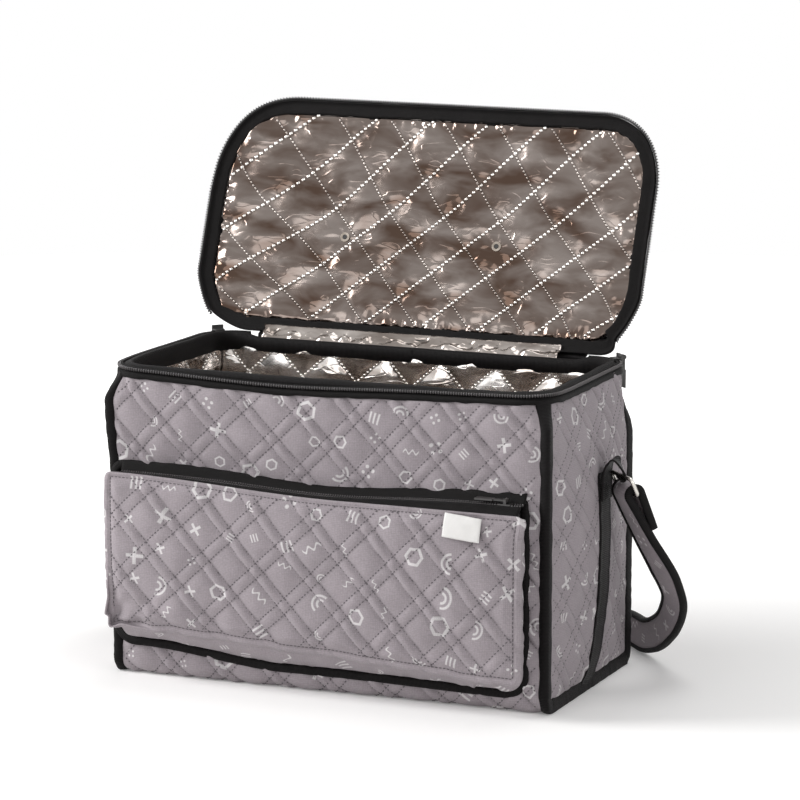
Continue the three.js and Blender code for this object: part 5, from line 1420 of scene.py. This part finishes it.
# Pocket zip: two black tapes slope from the bag and from the panel's top edge to a slot, where each carries
# its half of the nylon coil. It is open by the width of the slider, and sags in the middle with the panel.
zip_x = stops(-190, 183, 3.0, 1)
lip = pocket_place(np.clip(zip_x, -188, 181), 0 * zip_x + POCKET_MID + POCKET_RISE)[:, 2]
at_bag, at_slot, at_lip = foot_hang(zip_x, 0 * zip_x + 182), zip_sag(zip_x), lip - 180.6
back_section = [
    (-103.4, 189.6), (-105.0, 189.2), (-107.2, 185.6), (-109.6, 181.6), (-110.0, 180.6), (-107.0, 183.6),
    (-104.0, 188.0),
]
front_section = [
    (-118.6, 181.0), (-121.5, 181.4), (-124.5, 181.2), (-127.2, 180.4), (-126.8, 178.8), (-124.0, 179.8),
    (-118.4, 179.6),
]
wave = 0.4 * waver(zip_x, 24, 111)
for name, section, slot_y, reach, at_edge in (
    ("back", np.array(back_section), -110, 6.6, at_bag),
    ("front", np.array(front_section), -118.6, 8.6, at_lip),
):
    share = np.abs(section[:, 0] - slot_y) / reach
    fall = at_slot[:, None] * (1 - share)[None] + at_edge[:, None] * share[None]
    height = section[None, :, 1] + wave[:, None] + fall
    rings = np.stack(np.broadcast_arrays(zip_x[:, None], section[None, :, 0], height), -1)
    strip = band(f"pocket_tape_{name}", rings, zip_tape)
    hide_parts(f"pocket_zip_tape_{name}")
    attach(strip, "bag")
tooth_x = np.arange(-188, 182, 2.2)
drop = zip_sag(tooth_x)
for name, inner, outer in (("back", -111.7, -109.6), ("front", -116.6, -118.7)):
    starts = np.stack([tooth_x, 0 * tooth_x + inner, 180.4 + drop], -1)
    ends = np.stack([tooth_x, 0 * tooth_x + outer, 180.7 + drop], -1)
    up = np.tile([0, 0, 1.0], (len(tooth_x), 1))
    middle = (inner + outer) / 2
    section = middle * np.array([1, 0]) + [(-0.8, 179.6), (0.8, 179.6), (0.8, 180.6), (-0.8, 180.6)]
    height = section[None, :, 1] + drop[:, None]
    core = np.stack(np.broadcast_arrays(tooth_x[:, None], section[None, :, 0], height), -1)
    row = chain(f"pocket_coil_{name}", starts, ends, up, core)
    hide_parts(f"pocket_zip_coil_{name}")
    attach(row, "bag")

# Label: a small blank tag of white woven satin, cut 33 by 20 mm and sewn flat to the pocket near its top
# right corner, over the quilting.
TAG_X, TAG_Z, TAG_HALF_W, TAG_HALF_H, TAG_THICK = 136, 164, 16.5, 10, 0.7

# Woven satin: floats of white yarn 0.3 mm apart, drawn three times as coarse so that they show, with a silky
# sheen and a faint soiling in patches of 8 mm.
satin, tree = bare_finish("woven_satin")
spot = add(tree, "Attribute", out="Vector", attribute_name="cloth")
floats = add(tree, "TexWave", {
    "Vector": spot, "Scale": WAVE_PER_MM / 0.9, "Distortion": 0.8,
}, out="Fac", bands_direction="Y")
soil = add(tree, "TexNoise", {"Vector": spot, "Scale": 1 / 8.3, "Detail": 3.0})
mix = add(tree, "Math", {0: floats, 1: soil}, operation="MULTIPLY")
colour = add(tree, "Mix", {
    "Factor": mix, "A": linear("#dcdad8"), "B": linear("#f3f2f0"),
}, out="Result", data_type="RGBA")
bump = add(tree, "Bump", {"Height": floats, "Strength": 0.2, "Distance": 0.0003})
rough = add(tree, "MapRange", {"Value": soil, "To Min": 0.38, "To Max": 0.6})
shader = add(tree, "BsdfPrincipled", {
    "Base Color": colour, "Roughness": rough, "Normal": bump, "Sheen Weight": 0.2,
})
add(tree, "OutputMaterial", {"Surface": shader})
tag_us, tag_vs = np.linspace(-TAG_HALF_W, TAG_HALF_W, 23), np.linspace(-TAG_HALF_H, TAG_HALF_H, 15)
u, v = np.meshgrid(tag_us, tag_vs, indexing="ij")
tilt = math.radians(-5)
tag_x = TAG_X + u * math.cos(tilt) - v * math.sin(tilt)
tag_z = TAG_Z + u * math.sin(tilt) + v * math.cos(tilt)
tag_lift = np.maximum(pocket_height(TAG_X + 0 * u, TAG_Z + 0 * v), 2.4) + 1.3
tag_y = pocket_place(tag_x, tag_z)[..., 1] - tag_lift
tag_y = tag_y + 0.7 * (np.abs(u) / TAG_HALF_W) ** 6 + 0.4 * swell(u, v, 11, 121)
hang = pocket_hang(tag_x, tag_z)
face = np.stack([tag_x + hang[0], tag_y, tag_z + hang[1]], -1)
points, faces = closed_panel(face, face + np.array([0, TAG_THICK, 0]), 1)
spot = np.stack([u, v, 0 * u], -1).reshape(-1, 3)
tag = mesh_object("blank_label", points, faces, satin, np.concatenate([spot, spot]))
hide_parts("label")
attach(tag, "bag")

# Side webbing: 25 mm black polypropylene webbing sewn flat up each side of the bag, over the quilting, from
# the bottom seam to the ring's tab.
SIDE_THICK = 1.6


def mirrored(points, sign):
    """Points of the right side as they are, or moved to the left side."""
    return points * np.array([sign, 1.0, 1.0])


def frames_along(origins, across):
    """Across and up directions, square to the run of a path."""
    run = unit(np.gradient(origins, axis=0))
    across = unit(across - run * np.sum(across * run, 1, keepdims=True))
    return across, np.cross(across, run)


web_z = np.linspace(2.0, TAB_Z + 5, 120)
web_y = TAB_Y + 5.0 * (web_z - 96) / 88 - 5.0 * ease(26, 4, web_z)
web_x = HALF_W + side_belly(web_y, web_z) + side_height(web_y, web_z) + 1.1
origins = np.stack([web_x, web_y, web_z], -1)
across, up = frames_along(origins, np.tile([0, 1.0, 0], (len(origins), 1)))
web_rings = carried(origins, across, up, webbing_section(WEBBING_WIDTH, SIDE_THICK))
for sign, hand in ((1, "right"), (-1, "left")):
    webbing_piece = band(f"{hand}_side_webbing", mirrored(web_rings, sign), webbing)
    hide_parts(f"{hand}_webbing")
    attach(webbing_piece, "bag")

# Ring tabs: a short loop of the same webbing on each side, sewn over the end of the side webbing. It stands
# off the wall in a hump, narrows, and is folded round the upper bar of the ring.
BAR = np.array([228.0, 2.0, 188.0])
BAR_RUN, BAR_OUT = np.array([1.0, -1.0, 0.0]) / math.sqrt(2), np.array([1.0, 1.0, 0.0]) / math.sqrt(2)
UP = np.array([0.0, 0.0, 1.0])
TAB_FOLD, TAB_WIDE, TAB_NARROW = 3.0, 24.0, 17.0


def smooth_line(points, per):
    """A centripetal spline through points, `per` stops to each span."""
    points = np.asarray(points, float)
    padded = np.concatenate([[2 * points[0] - points[1]], points, [2 * points[-1] - points[-2]]])
    line = []
    for p0, p1, p2, p3 in zip(padded, padded[1:], padded[2:], padded[3:]):
        gaps = [max(np.linalg.norm(b - a), 1e-4) ** 0.5 for a, b in ((p0, p1), (p1, p2), (p2, p3))]
        lead = ((p1 - p0) / gaps[0] - (p2 - p0) / (gaps[0] + gaps[1]) + (p2 - p1) / gaps[1]) * gaps[1]
        tail = ((p2 - p1) / gaps[1] - (p3 - p1) / (gaps[1] + gaps[2]) + (p3 - p2) / gaps[2]) * gaps[1]
        t = (np.arange(per) / per)[:, None]
        bend = (-3 * p1 + 3 * p2 - 2 * lead - tail) * t ** 2 + (2 * p1 - 2 * p2 + lead + tail) * t ** 3
        line.append(p1 + lead * t + bend)
    return np.concatenate(line + [points[-1:]])


wall_x = HALF_W + 5.1 + side_belly(2.0, TAB_Z)
route = [
    (wall_x, 4.5, TAB_Z - 18, 0.0), (wall_x, 4.6, TAB_Z - 4, 0.0), (wall_x + 0.6, 4.4, TAB_Z + 7, 0.05),
    (wall_x + 3.2, 4.1, TAB_Z + 14.5, 0.15), (wall_x + 7.8, 3.5, TAB_Z + 17, 0.3),
    (wall_x + 12.2, 2.9, TAB_Z + 12.6, 0.45),
]
for turn in np.radians(25 - 30.0 * np.arange(7)):
    route.append((*(BAR + TAB_FOLD * (BAR_OUT * math.cos(turn) + UP * math.sin(turn))), 0.6))
fine_route = smooth_line(route, 6)
twist = fine_route[:, 3:]
tab_across = np.array([0, -1.0, 0]) * (1 - twist) + BAR_RUN * twist
tab_across, tab_up = frames_along(fine_route[:, :3], tab_across)
tab_widths = TAB_WIDE + (TAB_NARROW - TAB_WIDE) * ease(0.2, 0.5, np.linspace(0, 1, len(fine_route)))
tab_sections = np.stack([webbing_section(width, SIDE_THICK) for width in tab_widths])
tab_rings = carried(fine_route[:, :3], tab_across, tab_up, tab_sections)
for sign, hand in ((1, "right"), (-1, "left")):
    tab = band(f"{hand}_tab_webbing", mirrored(tab_rings, sign), webbing)
    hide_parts(f"{hand}_ring_tab")
    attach(tab, "bag")

# Rings: nickel-plated steel wire bent to a rectangle with round corners and welded shut, one on each side.
# Its upper bar hangs in the tab and its lower bar carries the strap.
RING_HALF, RING_LENGTH, RING_CORNER, WIRE = 19.8, 16.0, 4.0, 1.8
RING_DOWN = unit(0.4 * BAR_OUT - 0.9165 * UP)

# Nickel-plated steel: bright and faintly warm, with drawing marks of 0.7 mm on the wire and a soft haze in
# patches of 5 mm.
nickel, tree = bare_finish("nickel_plated_steel")
spot = add(tree, "Attribute", out="Vector", attribute_name="cloth")
drawn = add(tree, "TexNoise", {"Vector": spot, "Scale": 1 / 0.71, "Detail": 4.0, "Distortion": 0.3})
tone_patches = add(tree, "TexNoise", {"Vector": spot, "Scale": 1 / 5, "Detail": 2.0})
colour = add(tree, "Mix", {
    "Factor": tone_patches, "A": linear("#b9b5ae"), "B": linear("#d6d3cd"),
}, out="Result", data_type="RGBA")
rough = add(tree, "MapRange", {"Value": drawn, "To Min": 0.16, "To Max": 0.34})
bump = add(tree, "Bump", {"Height": drawn, "Strength": 0.08, "Distance": 0.0003})
shader = add(tree, "BsdfPrincipled", {
    "Base Color": colour, "Metallic": 1.0, "Roughness": rough, "Normal": bump,
})
add(tree, "OutputMaterial", {"Surface": shader})

ring_line, ring_outs = [], []
for su, lower, start in ((1, 0, 1.5), (1, 1, 0.0), (-1, 1, 0.5), (-1, 0, 1.0)):
    for turn in (start + np.linspace(0, 0.5, 9)) * math.pi:
        out = BAR_RUN * math.cos(turn) + RING_DOWN * math.sin(turn)
        down = RING_LENGTH - RING_CORNER if lower else RING_CORNER
        corner = BAR + BAR_RUN * su * (RING_HALF - RING_CORNER) + RING_DOWN * down
        ring_line.append(corner + out * RING_CORNER)
        ring_outs.append(out)
ring_line, ring_outs = np.array(ring_line), np.array(ring_outs)
turns = np.linspace(0, 2 * math.pi, 17)[:-1]
wire_section = WIRE * np.stack([np.cos(turns), np.sin(turns)], -1)
ring_up = np.tile(np.cross(BAR_RUN, RING_DOWN), (len(ring_line), 1))
ring_rings = carried(ring_line, ring_outs, ring_up, wire_section)
for sign, hand in ((1, "right"), (-1, "left")):
    ring = band(f"{hand}_wire_ring", mirrored(ring_rings, sign), nickel, closed=True)
    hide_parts(f"{hand}_ring")
    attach(ring, f"{hand}_ring")

# Shoulder strap: printed canvas on both faces of a foam core, bound along both edges in black grosgrain,
# folded over each ring and sewn back. It hangs to the floor at both ends and lies on its edge behind the bag.
LOWER_BAR = BAR + RING_DOWN * RING_LENGTH
FOLD_OFF, FOLD_BACK, STRAP_FLOOR = 5.9, 36, 16.7
BEND_REACH = 70
fold_run = unit(np.array([0.277, 0.352, -0.894]))
fold_out = unit(np.cross(BAR_RUN, fold_run))
start = LOWER_BAR - fold_out * FOLD_OFF
strap_stops = [
    start, start + 45 * fold_run + 2.6 * fold_out, (255, 40, 96), (256, 61, 68), (236, 94, 36),
    (207, 130, STRAP_FLOOR + 1), (180, 158, STRAP_FLOOR), (122, 187, STRAP_FLOOR), (60, 200, STRAP_FLOOR),
    (0, 203, STRAP_FLOOR),
]
strap_leans = [
    BAR_RUN, (0.8, -0.6, 0), (0.9, -0.4, -0.15), (0.8, -0.45, -0.4), (0.35, -0.3, -0.85), (0.05, -0.05, -1),
]
strap_leans += [(0, 0, -1)] * 4
turns = np.linspace(0, math.pi, 13)[1:-1]
fold = [LOWER_BAR + fold_out * (FOLD_OFF - 0.07 * t) + fold_run * t for t in np.linspace(FOLD_BACK, 0, 10)]
fold += [LOWER_BAR + FOLD_OFF * (fold_out * math.cos(t) - fold_run * math.sin(t)) for t in turns]
strap_line = np.concatenate([np.array(fold), smooth_line(strap_stops, 16)])
strap_lean = np.concatenate([np.tile(BAR_RUN, (len(fold), 1)), smooth_line(strap_leans, 16)])
strap_across, strap_up = frames_along(strap_line, strap_lean)
strap_run = run_along(strap_line)
pucker = 0.35 * waver(strap_run, 14, 131)
band_half = np.array([(13.2, 1.0), (12.6, 2.3), (9.0, 2.9), (4.5, 3.1), (0, 3.15)])
band_half = np.concatenate([band_half, (band_half * [-1, 1])[::-1][1:]])
band_section = np.concatenate([band_half, (band_half * [1, -1])[::-1]])
trim_section = np.array([
    (11.6, 2.5), (12.2, 3.4), (13.8, 3.7), (15.4, 2.9), (16.0, 1.0), (16.0, -1.0), (15.4, -2.9),
    (13.8, -3.7), (12.2, -3.4), (11.6, -2.5), (12.6, 0.0),
])
for sign, hand in ((1, "right"), (-1, "left")):
    rings = carried(strap_line, strap_across, strap_up, band_section)
    padding = band(f"strap_padding_{hand}", mirrored(rings, sign), canvas)
    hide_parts("strap_band")
    edges = []
    for side, node in ((1, "front"), (-1, "rear")):
        section = trim_section * [side, 1] + np.zeros((len(strap_line), 1, 2))
        section[..., 0] += side * pucker[:, None]
        rings = carried(strap_line, strap_across, strap_up, section)
        trim = band(f"strap_{node}_tape_{hand}", mirrored(rings, sign), black_grosgrain)
        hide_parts(f"strap_{node}_binding")
        edges.append(trim)
    for piece in [padding] + edges:
        low = mirrored(LOWER_BAR, sign) * MM
        far = mirrored(LOWER_BAR + fold_run * BEND_REACH, sign) * MM
        tuple(far)
        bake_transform(piece)
